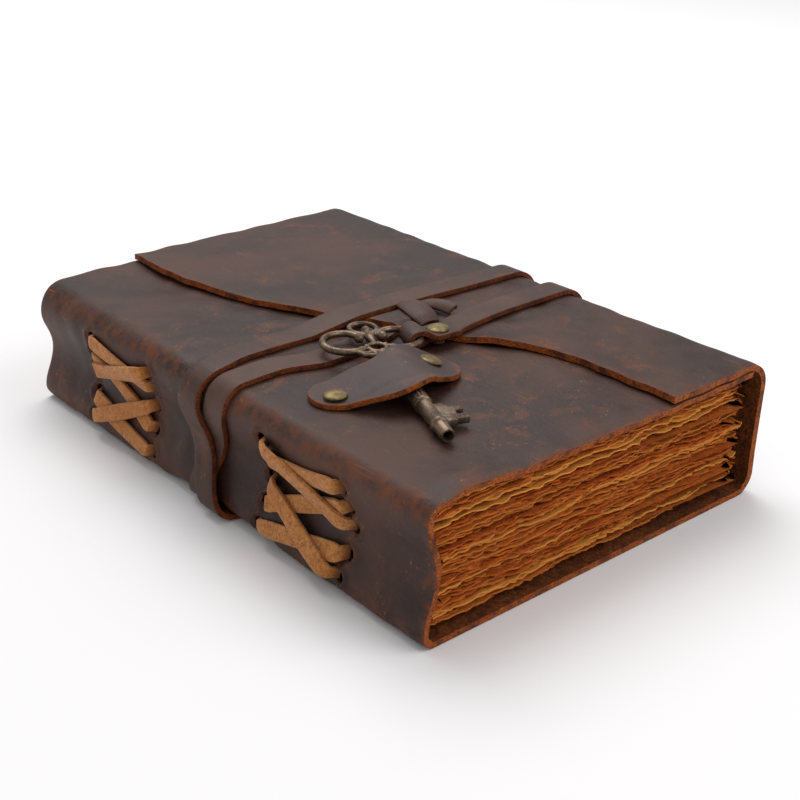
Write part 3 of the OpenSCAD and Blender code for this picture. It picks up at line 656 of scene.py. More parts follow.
# %% The folded end round the key's ring
KEY_AT, KEY_TURN = np.array([-19.6, -26.3]), math.radians(68.8)
RING_ALONG, RING_SIDE, RING_R = 10.3, 7.3, 6.2
RING_BAR_X = KEY_AT[0] + RING_ALONG * math.cos(KEY_TURN) + RING_SIDE * math.sin(KEY_TURN) + RING_R
BOW_Z = BOOK_H + GAP + STRAP_T + 1.3 + 0.9
HIGH_Z, LOW_Z = BOW_Z + 1.0, BOOK_H + GAP
RIVET_LOW_Z = BOOK_H + 1.3
RIVET_HIGH_Z = RIVET_LOW_Z + STRAP_T + 0.05
RIVET_AT = (2.9, -22.0)
TURN_X, MID_Z = RING_BAR_X - 2.0, (LOW_Z + STRAP_T + HIGH_Z) / 2
# Each row: x, z, normal x, normal z, y, width, and how far the row is skewed
upper = [(7.6, FLAP_TOP + 0.5, 0, 1, -21.8, STRAP_W, 0), (4.4, RIVET_HIGH_Z, 0, 1, -22, STRAP_W, 0),
    (-0.4, RIVET_HIGH_Z, 0, 1, -21.8, STRAP_W, 0.3), (RING_BAR_X + 0.4, HIGH_Z, 0, 1, -20.8, 8.2, 1.0),
    (TURN_X + 0.6, HIGH_Z, 0, 1, -20.2, 7.8, 1.4)]
bend = [(TURN_X + (HIGH_Z - MID_Z) * math.cos(a), MID_Z + (HIGH_Z - MID_Z) * math.sin(a),
    math.cos(a), math.sin(a), -20.2, 7.6, 1.4) for a in np.radians(90 + 22.5 * np.arange(1, 8))]
lower = [(TURN_X + 0.6, LOW_Z + STRAP_T, 0, -1, -19.8, 6.6, 1.2),
    (RING_BAR_X, LOW_Z + STRAP_T, 0, -1, -19.8, 5.8, 0.8),
    (0.3, RIVET_LOW_Z + STRAP_T, 0, -1, -20.6, 5.4, 0.3),
    (4.6, RIVET_LOW_Z + STRAP_T, 0, -1, -21.4, STRAP_W - 3.8, 0)]
loop = np.array(upper + bend + lower)
steps = np.concatenate([np.arange(0, 4, 0.25), np.arange(4, 12, 1),
    np.arange(12, len(loop) - 1 + 0.01, 0.25)])
loop = np.stack([np.interp(steps, np.arange(len(loop)), column) for column in loop.T], 1)
for _ in range(2):
    loop[1:15] = (loop[:14] + 2 * loop[1:15] + loop[2:16]) / 4
LX, LZ, LNX, LNZ, LY, LW, SKEW = [c[:, None] for c in loop.T]
reach = STRAP_T - 0.25 * edge[None, :] ** 2
folded = np.stack([LX + LNX * reach + SKEW * edge[None, :], LY + edge[None, :] * LW / 2 + 0 * reach,
    LZ + LNZ * reach], 2)


def ribbon(name, rows, thickness, materials, wanted, bevel=0.28, first=False):
    """A strip of leather from a grid of points on its outer face."""
    count, wide = rows.shape[:2]
    piece, u, v = flat_sheet(name, wide - 1, count - 1)
    i, j = np.rint(v * (count - 1)).astype(int), np.rint(u * (wide - 1)).astype(int)
    xyz = rows[i, j].copy()
    xyz[:, 0] += CENTRE_X
    set_coords(piece, xyz)
    facing(piece, wanted, first)
    for material in materials:
        piece.data.materials.append(material)
    modify(piece, "SOLIDIFY", thickness=thickness * MM, offset=-1, use_rim=True,
        material_offset=min(1, len(materials) - 1), material_offset_rim=len(materials) - 1)
    if bevel:
        modify(piece, "BEVEL", width=bevel * MM, segments=2, limit_method="ANGLE",
            angle_limit=math.radians(50))
    return piece


strap_leather = (strap_grain, strap_flesh, strap_cut)
strap_rows = np.concatenate([main, folded])
strap = ribbon("wrap_strap_main", strap_rows, STRAP_T, strap_leather, (0, 0, 1), first=True)
print("strap", len(strap.data.polygons), "faces")

# %% [markdown]
# The strap is knotted where it comes out of the slit, so that it can't slip back. Only one lobe of
# the knot and the strap's tail show: two short ribbons with a crowned middle, joined to the strap.

# %% Knot at the slit
def smooth_path(points, count):
    """Evenly spread points on a soft curve through the given rows of numbers."""
    points = np.asarray(points, float)
    t = np.linspace(0, len(points) - 1, count)
    k = np.clip(np.floor(t).astype(int), 0, len(points) - 2)
    s = (t - k)[:, None]
    p0, p1 = points[np.clip(k - 1, 0, None)], points[k]
    p2, p3 = points[k + 1], points[np.clip(k + 2, None, len(points) - 1)]
    return 0.5 * (2 * p1 + (p2 - p0) * s + (2 * p0 - 5 * p1 + 4 * p2 - p3) * s ** 2
        + (3 * p1 - 3 * p2 + p3 - p0) * s ** 3)


def draped(path, count, arch=0.5, across=8):
    """Rows of points for a ribbon: path gives x, y, z, width, side direction in degrees and tilt."""
    path = smooth_path(path, count)
    e = np.linspace(-0.5, 0.5, across + 1)[None, :]
    turn, tilt = np.radians(path[:, 4:5]), np.radians(path[:, 5:6])
    w = path[:, 3:4]
    crown = arch * (0.25 - e * e) * w
    return np.stack([path[:, 0:1] + e * w * np.cos(turn) * np.cos(tilt),
        path[:, 1:2] + e * w * np.sin(turn) * np.cos(tilt),
        path[:, 2:3] + e * w * np.sin(tilt) + crown], 2)


hump = draped([(9.4, 0.6, 40.6, 5.4, 8, 0), (9.0, -1.6, 41.1, 6.8, 6, 3), (8.6, -5.0, 41.3, 7.8, 2, 4),
    (8.0, -8.6, 41.1, 8.0, -2, 4), (7.4, -11.8, 40.5, 7.4, -6, 3), (7.0, -14.6, 39.4, 6.0, -10, 2)], 34)
tail = draped([(12.6, -2.6, 40.2, 3.2, 24, 0), (13.8, -4.8, 41.0, 4.6, 16, 6),
    (14.9, -7.6, 41.4, 5.0, 10, 12), (15.8, -10.6, 41.3, 4.6, 6, 20), (16.4, -13.6, 40.8, 4.0, 0, 26)],
    24, 0.7)
knot = ribbon("knot_hump", hump, STRAP_T, strap_leather, (0, 0, 1), 0.3)
knot_tail = ribbon("knot_tail", tail, STRAP_T * 0.9, strap_leather, (0, 0, 1), 0.3)
strap = join("wrap_strap_leather", [strap, knot, knot_tail])
spots = coords(strap)
point_attribute(strap, np.full(len(spots), 0.16))
smooth(strap, 45)

# %% [markdown]
# ## The lacing
# Each group is one flat lace through ten holes. Five runs show: they rise out of a hole, lie on the
# spine or over another run, and dive into the next hole. Each run is a narrow grid whose height
# follows the spine, thin at the holes where the lace is pinched.

# %% Lace runs
UNDER = [(1, 0), (3, 1), (4, 3)]
OVER = [(0, 2), (2, 4)]
LACE_W, LACE_T, LACE_DIVE = 4.2, 1.1, 2.6


def lace_rows(side, near, far, level, seed):
    rng = random.Random(seed)
    a = np.array([side * NEAR_Y[near], HOLE_Z[near]], float)
    b = np.array([side * FAR_Y[far], HOLE_Z[far]], float)
    length = np.linalg.norm(b - a)
    way = (b - a) / length
    cross = np.array([-way[1], way[0]]) * side
    s = np.linspace(0, 1, 44)[:, None]
    off = np.minimum(s, 1 - s) * length
    bow = rng.uniform(-0.5, 0.5) * np.sin(math.pi * s)
    wide = LACE_W * lerp(0.78, 1.05, ease(off / 4)) * (1 + 0.05 * np.sin(9 * s + seed))
    e = np.linspace(-0.5, 0.5, 7)[None, :]
    yy = a[0] + way[0] * s * length + cross[0] * (e * wide + bow)
    zz = a[1] + way[1] * s * length + cross[1] * (e * wide + bow)
    dive = LACE_DIVE * (1 - ease(off / 1.8))
    height = (GAP + level * (LACE_T + 0.2) * ease(off / 5)) * ease(off / 2) - dive + LACE_T
    height = height + 0.1 * ease(off / 4) + 0.5 * (0.25 - e * e) + 0.12 * np.sin(5 * s + seed) * e
    return np.stack([spine_skin_x(zz, yy) - height, yy, zz], 2)


def lacing(side, name):
    runs = []
    for k, (near, far, level) in enumerate([r + (0,) for r in UNDER] + [r + (1,) for r in OVER]):
        rows = lace_rows(side, near, far, level, 10 * k + side)
        runs.append(ribbon(f"{name}_{k}", rows, LACE_T, (suede,), (-1, 0, 0), 0.25))
    inner_x = -HALF_W + SPINE_LEAN + WAIST + HIDE_T + GAP + LACE_T
    for y_middle in (NEAR_Y[1], FAR_Y[1]):
        zs = np.linspace(HOLE_Z[4] - 1, HOLE_Z[0] + 1, 20)[:, None]
        e = np.linspace(-0.5, 0.5, 5)[None, :]
        rows = np.stack([inner_x + 0 * zs + 0 * e, side * y_middle + e * LACE_W + 0 * zs, zs + 0 * e], 2)
        runs.append(ribbon(name + "_inner", rows, LACE_T, (suede,), (1, 0, 0), 0.25))
    piece = join(name, runs)
    spots = coords(piece)
    skin = spine_skin_x(spots[:, 2], spots[:, 1]) + CENTRE_X
    # Painted shade: 1 where the lace sinks 0.6 mm below the hide's face into a hole, 0 from 0.6 mm above
    # it.
    point_attribute(piece, ease((spots[:, 0] - skin + 0.6) / 1.2))
    smooth(piece, 50)
    return piece


lacing_head = lacing(1, "lacing_head_suede")
lacing_tail = lacing(-1, "lacing_tail_suede")

# %% [markdown]
# ## The pages
# Hand-made paper is torn, not trimmed, so every leaf has its own soft, ragged outline. Each leaf is
# a filled circle of vertices moved onto that outline, inset once so that its rim can wave, and given
# a thickness. The leaves are stacked with loose, uneven gaps and joined to one block.

# %% Leaves with torn edges
PAGE_LOW, PAGE_HIGH = STRAP_LEVEL + HIDE_T + GAP, BOOK_H - HIDE_T - GAP
LEAVES = 66
rng = np.random.default_rng(21)


def rect_outline(x0, x1, y0, y1):
    tail_x = np.linspace(x0, x1, 84, endpoint=False)
    fore_y = np.linspace(y0, y1, 62, endpoint=False)
    head_x = np.linspace(x1, x0, 84, endpoint=False)
    back_y = np.linspace(y1, y0, 8, endpoint=False)
    xs = np.concatenate([tail_x, 0 * fore_y + x1, head_x, 0 * back_y + x0])
    ys = np.concatenate([0 * tail_x + y0, fore_y, 0 * head_x + y1, back_y])
    nx = np.concatenate([0 * tail_x, 0 * fore_y + 1, 0 * head_x, 0 * back_y])
    ny = np.concatenate([0 * tail_x - 1, 0 * fore_y, 0 * head_x + 1, 0 * back_y])
    return xs, ys, nx, ny


def back_x(z, y_end):
    return spine_skin_x(np.clip(z, 6, 31), y_end) + HIDE_T + 0.6


def leaf(k, z, thick, recess, tone):
    fold = 1.6 * abs(((k % 7) - 3) / 3) ** 2
    x0 = float(back_x(z, 0.0)) + 0.4 + fold
    x1 = HALF_W - HIDE_T - 7 + rng.uniform(-2.4, 1.6)
    xs, ys, nx, ny = rect_outline(x0, x1, -HALF_L + 1.6, HALF_L - 1.6)
    torn = (0.75 * waves(xs, ys, 9 * k, 31 + k, 16) + 0.45 * waves(xs, ys, 0, 131 + k, 4.5)
        + rng.normal(0, 0.2, len(xs)) - recess)
    torn = np.minimum(torn, 0.8)
    bpy.ops.object.select_all(action="DESELECT")
    bpy.ops.mesh.primitive_circle_add(vertices=len(xs), radius=1, fill_type="NGON")
    piece = bpy.context.object
    base = 0 * xs + z
    set_coords(piece, np.stack([xs + nx * torn + CENTRE_X, ys + ny * torn, base], 1))
    in_edit_mode(piece, all_faces(piece), bpy.ops.mesh.inset, thickness=2.2 * MM, use_even_offset=False)
    spots = coords(piece)
    outer = np.arange(len(spots)) < len(xs)
    sag = 0.5 * waves(spots[:, 0], spots[:, 1], z * 0.6, 77, 34)
    curl = 0.22 * waves(spots[:, 0], spots[:, 1], 30 * k, 55 + k, 9) * outer
    room = ease((z - PAGE_LOW) / 2) * ease((PAGE_HIGH - z) / 2)
    spots[:, 2] = z + (sag + curl) * room
    set_coords(piece, spots)
    facing(piece, (0, 0, 1))
    modify(piece, "SOLIDIFY", thickness=thick * MM, offset=-1, use_rim=True)
    point_attribute(piece, np.full(len(piece.data.vertices), tone), "tone")
    inner = coords(piece)
    # Painted shade for the gaps between leaves: 0 near the head, tail and fore-edge, rising to 1 a few
    # millimetres further in.
    depth = np.minimum(HALF_L - abs(inner[:, 1]), HALF_W - inner[:, 0] - 6)
    point_attribute(piece, (depth - 2.2) / 3.5, "gap_shade")
    return piece


leaves = []
level = PAGE_LOW + 0.3
pitch = (PAGE_HIGH - PAGE_LOW) / LEAVES
for k in range(LEAVES):
    pale = rng.random() < 0.16
    thick = pitch * rng.uniform(0.55, 1.05) * (1.3 if pale else 1)
    leaves.append(leaf(k, min(level + thick, PAGE_HIGH), thick, rng.uniform(0, 2.0) * (0.2 if pale else 1),
        rng.uniform(0.5, 0.9) if pale else rng.uniform(0, 0.3)))
    level += pitch
pages = join("page_block_paper", leaves)
pages.data.materials.append(paper)
smooth(pages, 60)
print("pages", len(pages.data.polygons), "faces")

# %% [markdown]
# ## The keeper
# A patch of leather is riveted over the shank. Its outline is what a wide disc in the middle leaves
# as it shrinks toward each end, and it rises over the key, steeper on one side than on the other.
# A circle is extruded and scaled inwards to rings, then laid on that rise and given its thickness.

# %% Keeper patch
KEEPER_MID, KEEPER_MID_R = np.array([-29.0, -38.9]), 11.5
KEEPER_ENDS = [(np.array([-40.0, -33.2]), 7.8), (np.array([-14.2, -36.8]), 8.9)]
KEEPER_T, KEEPER_LEFT, KEEPER_RIGHT = 1.5, 14.4, 13.0
KEEPER_CREST, KEEPER_DRAWN, CREST_SOFT = -1.6, 1.8, 5.0
CREST_OVER_BOW, CREST_OVER_SHANK = 2.05, 2.4
KEEPER_LOW = BOOK_H + 0.05
RIVETS = {"left": (-42.8, -35.3), "right": (-12.7, -36.9)}
SHANK_L, COLLAR_R = 41, 2.4
KEY_SLOPE = math.atan((BOW_Z - BOOK_H - COLLAR_R) / (RING_ALONG + SHANK_L))


def keeper_reach(angle):
    best = np.zeros_like(angle)
    ux, uy = np.cos(angle), np.sin(angle)
    for end, end_r in KEEPER_ENDS:
        for s in np.linspace(0, 1, 17):
            dx, dy = (end - KEEPER_MID) * s
            r = lerp(KEEPER_MID_R, end_r, s)
            off = abs(dx * uy - dy * ux)
            far = dx * ux + dy * uy + np.sqrt(np.clip(r * r - off * off, 0, None))
            best = np.maximum(best, np.where(off < r, far, 0))
    from_axis = np.angle(np.exp(1j * (angle - KEY_TURN)))
    return best - KEEPER_DRAWN * np.exp(-(from_axis / 0.5) ** 2)


def keeper_rise(x, y):
    along = (x - KEY_AT[0]) * math.cos(KEY_TURN) + (y - KEY_AT[1]) * math.sin(KEY_TURN)
    off = (y - KEY_AT[1]) * math.cos(KEY_TURN) - (x - KEY_AT[0]) * math.sin(KEY_TURN) - KEEPER_CREST
    axis_z = BOW_Z - (RING_ALONG - along) * math.tan(KEY_SLOPE)
    crown = axis_z + lerp(CREST_OVER_BOW, CREST_OVER_SHANK, ease(-20 - along)) - KEEPER_LOW
    down = np.sqrt(off * off + CREST_SOFT * CREST_SOFT) - CREST_SOFT
    left = np.clip(1 - down / KEEPER_LEFT, 0, 1)
    ramp = np.clip(1 - down / (KEEPER_RIGHT - 2), 0, 1)
    right = 0.5 * ramp + 0.25 + 0.25 * np.cos(math.pi * np.clip(off / KEEPER_RIGHT, -1, 1))
    return crown * np.where(off > 0, left, right)


bpy.ops.object.select_all(action="DESELECT")
bpy.ops.mesh.primitive_circle_add(vertices=128, radius=1, fill_type="NOTHING")
keeper = bpy.context.object
keeper.name = "key_keeper_patch"
bpy.context.tool_settings.mesh_select_mode = (False, True, False)
bpy.ops.object.mode_set(mode="EDIT")
bpy.ops.mesh.select_all(action="SELECT")
for size in (0.97, 0.95, 0.93, 0.91, 0.89, 0.87, 0.84, 0.8, 0.74, 0.66, 0.5):
    bpy.ops.mesh.extrude_edges_move()
    bpy.ops.transform.resize(value=(size, size, 1))
bpy.ops.mesh.edge_face_add()
bpy.ops.object.mode_set(mode="OBJECT")
disc = coords(keeper) * MM
radius, angle = np.hypot(disc[:, 0], disc[:, 1]), np.arctan2(disc[:, 1], disc[:, 0])
reach = keeper_reach(angle) * radius
kx, ky = KEEPER_MID[0] + reach * np.cos(angle), KEEPER_MID[1] + reach * np.sin(angle)
lifted = 0.35 * np.clip(radius - 0.8, 0, 1) / 0.2 * ease((-36 - ky) / 6)
kz = KEEPER_LOW + keeper_rise(kx, ky) + KEEPER_T + lifted
set_coords(keeper, np.stack([kx + CENTRE_X, ky, kz], 1))
facing(keeper, (0, 0, 1))
for material in (keeper_grain, hide_flesh, hide_cut):
    keeper.data.materials.append(material)
modify(keeper, "SOLIDIFY", thickness=KEEPER_T * MM, offset=-1, use_rim=True, material_offset=1,
    material_offset_rim=2)
modify(keeper, "BEVEL", width=0.35 * MM, segments=3, limit_method="ANGLE", angle_limit=math.radians(55))
spots = coords(keeper)
rim = np.hypot(spots[:, 0] - CENTRE_X - KEEPER_MID[0], spots[:, 1] - KEEPER_MID[1])
turn = np.arctan2(spots[:, 1] - KEEPER_MID[1], spots[:, 0] - CENTRE_X - KEEPER_MID[0])
point_attribute(keeper, np.exp(-(keeper_reach(turn) - rim) / 0.7))
smooth(keeper, 45)

# %% [markdown]
# ## Rivets and key
# Small round metal parts are turned: half a profile is drawn and spun round its axis.

# %% Turned metal
def turned(name, profile, at=(0, 0), steps=48, material=None):
    """Spins a profile of (radius, z) pairs round a vertical axis."""
    bpy.ops.object.select_all(action="DESELECT")
    bpy.ops.mesh.primitive_plane_add(size=1)
    piece = bpy.context.object
    piece.name = name
    bpy.context.tool_settings.mesh_select_mode = (True, False, False)
    bpy.ops.object.mode_set(mode="EDIT")
    bpy.ops.mesh.select_all(action="SELECT")
    bpy.ops.mesh.merge(type="CENTER")
    bpy.ops.transform.translate(value=(profile[0][0] * MM, 0, profile[0][1] * MM))
    for (r0, z0), (r1, z1) in zip(profile, profile[1:]):
        step = ((r1 - r0) * MM, 0, (z1 - z0) * MM)
        bpy.ops.mesh.extrude_vertices_move(TRANSFORM_OT_translate={"value": step})
    bpy.ops.mesh.select_all(action="SELECT")
    bpy.ops.mesh.spin(steps=steps, angle=2 * math.pi, center=(0, 0, 0), axis=(0, 0, 1))
    bpy.ops.mesh.select_all(action="SELECT")
    bpy.ops.mesh.remove_doubles(threshold=0.00001)
    bpy.ops.mesh.normals_make_consistent(inside=False)
    bpy.ops.object.mode_set(mode="OBJECT")
    spots = coords(piece)
    set_coords(piece, spots + np.array([at[0] + CENTRE_X, at[1], 0]))
    if material:
        piece.data.materials.append(material)
    smooth(piece, 35)
    return piece


# %% Rivet caps
CAP_R, POST_R, RIGHT_TIP = 3.1, 1.2, 18


def rivet_profile(top, low):
    dome = [(CAP_R * math.sin(a), top + 0.15 + 0.75 * math.cos(a)) for a in np.radians(np.arange(0, 91, 9))]
    return dome + [(CAP_R, top), (POST_R, top), (POST_R, low), (0, low)]


def keeper_seat(at):
    """The highest place of the keeper under a cap's rim."""
    a = np.radians(22.5 * np.arange(16))
    rim_rise = keeper_rise(at[0] + CAP_R * np.cos(a), at[1] + CAP_R * np.sin(a))
    return KEEPER_LOW + KEEPER_T + float(np.max(rim_rise)) + 0.1


def lean_cap(piece, at, pivot_z, degrees):
    """Tips a cap over the flank of the keeper."""
    pivot = np.array([at[0] + CENTRE_X, at[1], pivot_z])
    tip = Matrix.Rotation(math.radians(degrees), 3, Vector((math.cos(KEY_TURN), math.sin(KEY_TURN), 0)))
    spots = coords(piece)
    tipped = (spots - pivot) @ np.array(tip).T + pivot
    set_coords(piece, np.where(spots[:, 2:] > pivot_z - 0.2, tipped, spots))


RIGHT_SEAT = KEEPER_LOW + KEEPER_T + float(keeper_rise(*np.array(RIVETS["right"]))) + 0.3
rivet_left = turned("keeper_rivet_left_cap", rivet_profile(keeper_seat(RIVETS["left"]), BOOK_H - HIDE_T),
    RIVETS["left"], material=brass)
rivet_right = turned("keeper_rivet_right_cap", rivet_profile(RIGHT_SEAT, BOOK_H - HIDE_T), RIVETS["right"],
    material=brass)
lean_cap(rivet_right, RIVETS["right"], RIGHT_SEAT, RIGHT_TIP)
strap_cap = turned("strap_rivet_cap", rivet_profile(RIVET_HIGH_Z + STRAP_T + 0.05, RIVET_LOW_Z), RIVET_AT,
    material=brass)

# %% [markdown]
# The key is cast bronze: bars of the bow run into each other with soft, filled corners. Curves with
# a round bevel would give the bars but not the corners, so bars and beads are joined, remeshed to one
# skin and smoothed a little. In the key's own frame X runs along the shank, and the bow is at X above 0.

# %% Bars and rings of the key's bow
def tube(path, radius, sides=14):
    """A bar along a path of (x, y), closed at both ends; its radius may change along the way."""
    path = np.asarray(path, float)
    radius = np.broadcast_to(np.asarray(radius, float), len(path))
    piece, u, v = flat_sheet("bar", sides, len(path) + 1)
    row = np.rint(v * (len(path) + 1)).astype(int)
    k = np.clip(row - 1, 0, len(path) - 1)
    forward = np.gradient(path, axis=0)
    forward /= np.linalg.norm(forward, axis=1)[:, None]
    r = np.where((row == 0) | (row == len(path) + 1), 0, radius[k])
    turn = 2 * math.pi * u
    out = r * np.cos(turn)
    set_coords(piece, np.stack([path[k, 0] - forward[k, 1] * out, path[k, 1] + forward[k, 0] * out,
        r * np.sin(turn)], 1))
    in_edit_mode(piece, all_faces(piece), bpy.ops.mesh.remove_doubles, threshold=0.00001)
    in_edit_mode(piece, all_faces(piece), bpy.ops.mesh.normals_make_consistent, inside=False)
    return piece


def arc_path(cx, cy, r, start, end, count=40):
    turn, r = np.radians(np.linspace(start, end, count)), np.broadcast_to(r, count)
    return np.stack([cx + r * np.cos(turn), cy + r * np.sin(turn)], 1)


def bead(x, y, r, z=0.0):
    bpy.ops.object.select_all(action="DESELECT")
    bpy.ops.mesh.primitive_uv_sphere_add(segments=20, ring_count=12, radius=r * MM, location=(0, 0, 0))
    set_coords(bpy.context.object, coords(bpy.context.object) + np.array([x, y, z]))
    return bpy.context.object


def bow():
    """Two scrolls and a crown, each curled round a bead, over a pierced fan."""
    parts = [tube(arc_path(18.2, 0, 3.75, 158, -158), 0.78), bead(15.9, 0, 1.35, 0.5),
        tube([(8.0, 0), (10, 0), (12, 0), (14.2, 0), (15.6, 0)], [0.8, 0.85, 1.35, 1.2, 0.8])]
    for way in (-1, 1):
        k = np.arange(60)
        r = np.interp(k, [0, 46, 53, 59], [RING_R, RING_R, 5.5, 4.1])
        scroll = arc_path(RING_ALONG, RING_SIDE, r, 226, -84, 60) * np.array([1, way])
        parts += [tube(scroll, np.interp(k, [0, 8, 50, 59], [0.75, 1.02, 0.95, 0.8])),
            bead(RING_ALONG + 1.2, way * 3.3, 1.4, 0.5),
            tube(arc_path(4.5, way * 3.75, 1.75, 0, 360, 24), 0.52),
            bead(4.4, way * 6.2, 0.9),
            bead(6.8, way * 2.7, 0.75),
            tube([(13.4, way * 0.6), (14.3, way * 1.4), (15.0, way * 2.2)], 0.8),
            tube([(0.3, way * 0.8), (1.6, way * 1.5), (3.2, way * 2.0)], 0.6),
            tube([(0.8, way * 3.2), (2.0, way * 4.8), (3.8, way * 6.0)], 0.62)]
    parts += [tube(arc_path(5.6, 0, 2.5, 0, 360, 30), 0.58),
        tube([(1.6, -5.4), (0.7, -3), (0.4, 0), (0.7, 3), (1.6, 5.4)], [0.6, 0.8, 0.95, 0.8, 0.6])]
    piece = join("key_bow", parts)
    modify(piece, "REMESH", mode="VOXEL", voxel_size=0.15 * MM)
    modify(piece, "SMOOTH", factor=0.5, iterations=3)
    return piece


# %% [markdown]
# The shank is a turned pipe with collars and a fluted grip, and the bit is a flat, notched plate. The
# pipe is spun from half its outline, like the caps, and its flutes are pressed in by code, because
# twelve cuts by hand would not come out alike.

# %% Shank, bit and key together
# Radius and place along the shank, from inside the bow to the pipe's mouth
SHANK = [(0, -1.2), (1.7, -1.2), (1.95, -0.9), (1.95, 21.4), (2.3, 21.6), (2.3, 22.0), (2.3, 28.2),
    (2.3, 28.4), (1.95, 28.6), (1.95, 29.0), (2.42, 29.2), (2.42, 30.0), (2.0, 30.3), (1.92, 39.9),
    (2.0, 40.1), (2.42, 40.4), (2.42, 41.3), (2.0, 41.6), (1.8, 42.0), (1.8, 46.2), (1.62, 46.5),
    (1.28, 46.5), (1.2, 46.2), (1.2, 40.5), (0, 40.5)]
BIT = [(0.4, -1.2), (0.4, -4.8), (1.2, -4.8), (1.2, -8.2), (3.6, -8.2), (3.6, -5.8), (5.6, -5.8),
    (5.6, -8.2), (7.6, -8.2), (7.6, -5.2), (9.8, -4.0), (9.8, -1.2)]
FLUTES, BIT_T = 12, 1.8


def shank():
    piece = turned("key_shank", SHANK, (-CENTRE_X, 0), 96)
    spots = coords(piece)
    turn = np.arctan2(spots[:, 1], spots[:, 0])
    groove = (abs(spots[:, 2] - 25.1) < 3.2) * 0.3 * (0.5 + 0.5 * np.cos(FLUTES * turn)) ** 2
    spots[:, :2] *= (1 - groove / 2.3)[:, None]
    set_coords(piece, np.stack([-spots[:, 2], spots[:, 1], spots[:, 0]], 1))
    return piece


def bit():
    bpy.ops.object.select_all(action="DESELECT")
    bpy.ops.mesh.primitive_circle_add(vertices=len(BIT), radius=1, fill_type="NGON")
    piece = bpy.context.object
    outline = np.array(BIT)
    set_coords(piece, np.stack([outline[:, 0] - SHANK_L, outline[:, 1], 0 * outline[:, 0] + BIT_T / 2], 1))
    facing(piece, (0, 0, 1))
    modify(piece, "SOLIDIFY", thickness=BIT_T * MM, offset=-1, use_rim=True)
    modify(piece, "BEVEL", width=0.22 * MM, segments=2, limit_method="ANGLE", angle_limit=math.radians(40))
    return piece


key = join("key_bronze", [bow(), shank(), bit()])
lean = (Matrix.Rotation(KEY_TURN, 3, "Z") @ Matrix.Rotation(-KEY_SLOPE, 3, "Y")
    @ Matrix.Rotation(math.radians(2), 3, "X"))
start_z = BOW_Z - RING_ALONG * math.sin(KEY_SLOPE)
set_coords(key, coords(key) @ np.array(lean).T + np.array([KEY_AT[0] + CENTRE_X, KEY_AT[1], start_z]))
key.data.materials.clear()
key.data.materials.append(bronze)
smooth(key, 40)
print("key", len(key.data.polygons), "faces")

# %% [markdown]
# The rivets' back caps lie hidden under leather, so the CAD nodes stay and only get their brass.

# %% Give the carried-over CAD nodes their finish
for node_name in ("keeper_rivet_left_back", "keeper_rivet_right_back", "strap_rivet_back"):
    back_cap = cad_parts[node_name]
    back_cap.data.materials.clear()
    back_cap.data.materials.append(brass)

# %% [markdown]
# ## Who stands for whom
# Every new piece rides on the journal's one body and hides the CAD node that it replaces.

# %% Ride and replace
PIECES = [(hide, "hide", "cover"), (strap, "strap", "wrap_strap"), (lacing_head, "lace", "lacing_head"),
    (lacing_tail, "lace", "lacing_tail"), (pages, "paper", "page_block"), (keeper, "hide", "key_keeper"),
    (rivet_left, "rivet_metal", "keeper_rivet_left"), (rivet_right, "rivet_metal", "keeper_rivet_right"),
    (strap_cap, "rivet_metal", "strap_rivet"), (key, "key_metal", "key")]
for piece, slot_name, node_name in PIECES:
    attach(piece, "root")
    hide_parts(node_name)

# %% [markdown]
# ## Table, light and camera
# The photograph is a pale studio picture from the tail end, about 25 degrees above the table. The
# floor is nearly white, the world gives most of the light, and two soft lamps shape it. The camera
# sees the world as white, while the rays that light the journal find it dimmer.

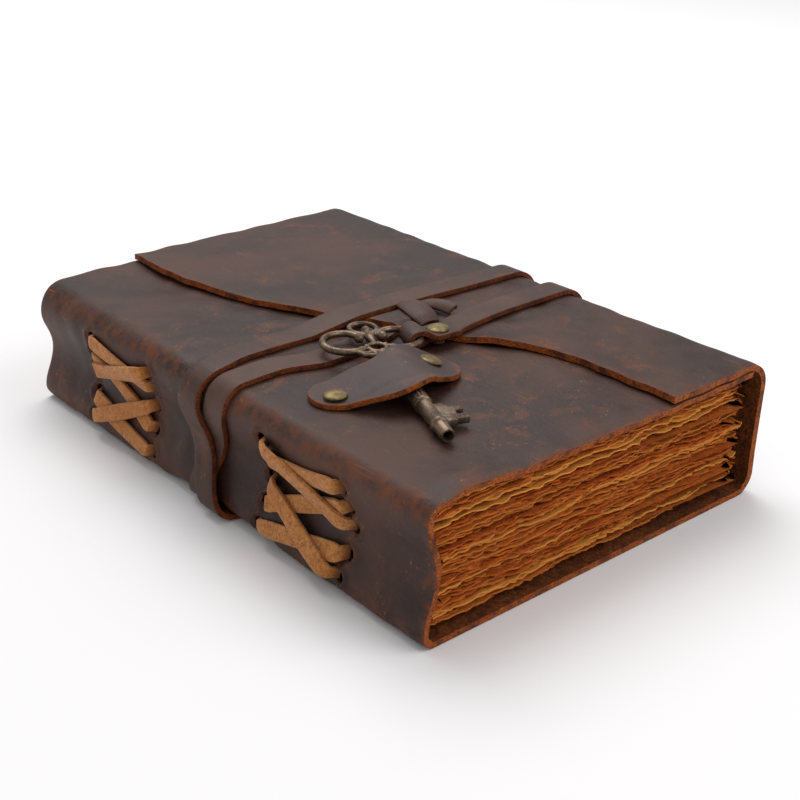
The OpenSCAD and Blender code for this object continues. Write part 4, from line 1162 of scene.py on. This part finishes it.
# %% Floor and world
bpy.ops.object.select_all(action="DESELECT")
bpy.ops.mesh.primitive_plane_add(size=12, location=(0, 0, -0.0002))
floor = bpy.context.object
floor.name = "floor"
floor_colour = (0.9, 0.89, 0.9, 1)
floor.data.materials.append(Nodes("floor_paper").surface(Base_Color=floor_colour, Roughness=0.9,
    Specular_IOR_Level=0.1))
floor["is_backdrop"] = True

world = bpy.data.worlds.new("studio")
scene.world = world
world.use_nodes = True
tree = world.node_tree
background = tree.nodes["Background"]
path = tree.nodes.new("ShaderNodeLightPath")
level = tree.nodes.new("ShaderNodeMapRange")
tree.links.new(path.outputs["Is Camera Ray"], level.inputs["Value"])
level.inputs["To Min"].default_value = 0.55
level.inputs["To Max"].default_value = 1.0
tree.links.new(level.outputs[0], background.inputs["Strength"])
background.inputs["Color"].default_value = (1, 1, 1, 1)


# %% Soft lamps
def soft_lamp(name, place, size, power, target=(0, 0, 0.02)):
    bpy.ops.object.select_all(action="DESELECT")
    bpy.ops.object.light_add(type="AREA", location=place)
    lamp = bpy.context.object
    lamp.name = name
    lamp.data.shape = "SQUARE"
    lamp.data.size = size
    lamp.data.energy = power
    lamp.rotation_euler = (Vector(target) - Vector(place)).to_track_quat("-Z", "Y").to_euler()
    return lamp


soft_lamp("key_light", (0.5, -0.75, 0.75), 0.7, 4.0)
soft_lamp("top_light", (0.25, 0.55, 1.05), 0.9, 9.0)

# %% [markdown]
# The camera stands where the photograph was taken from. Its three angles, its place in metres and its
# lens were fitted to the corners of the book.

# %% Camera
YAW, PITCH, ROLL = math.radians(49.376), math.radians(24.974), math.radians(0.530)
CAMERA_AT, LENS_MM = (-0.229745, -0.27869, 0.18115), 61.83
look = Vector((math.cos(YAW) * math.cos(PITCH), math.sin(YAW) * math.cos(PITCH), -math.sin(PITCH)))
right = look.cross(Vector((0, 0, 1))).normalized()
above = right.cross(look)
side = math.cos(ROLL) * right + math.sin(ROLL) * above
above = math.cos(ROLL) * above - math.sin(ROLL) * right
camera_data = bpy.data.cameras.new("camera")
camera = bpy.data.objects.new("camera", camera_data)
scene.collection.objects.link(camera)
turned_axes = Matrix((side, above, -look)).transposed().to_4x4()
camera.matrix_world = Matrix.Translation(CAMERA_AT) @ turned_axes
camera_data.sensor_width = 36
camera_data.lens = LENS_MM
camera_data.clip_start = 0.01
scene.camera = camera
scene.view_settings.view_transform = "Standard"

# %% [markdown]
# Last, the boxes of the CAD model and of the dressed one are written down side by side, so that a
# piece that sticks out shows at once.

# %% Sizes of both models
SEEN_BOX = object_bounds()
for word, box in (("cad", CAD_BOX), ("visual", SEEN_BOX)):
    print(word, [[round(c * 1000, 2) for c in corner] for corner in box])
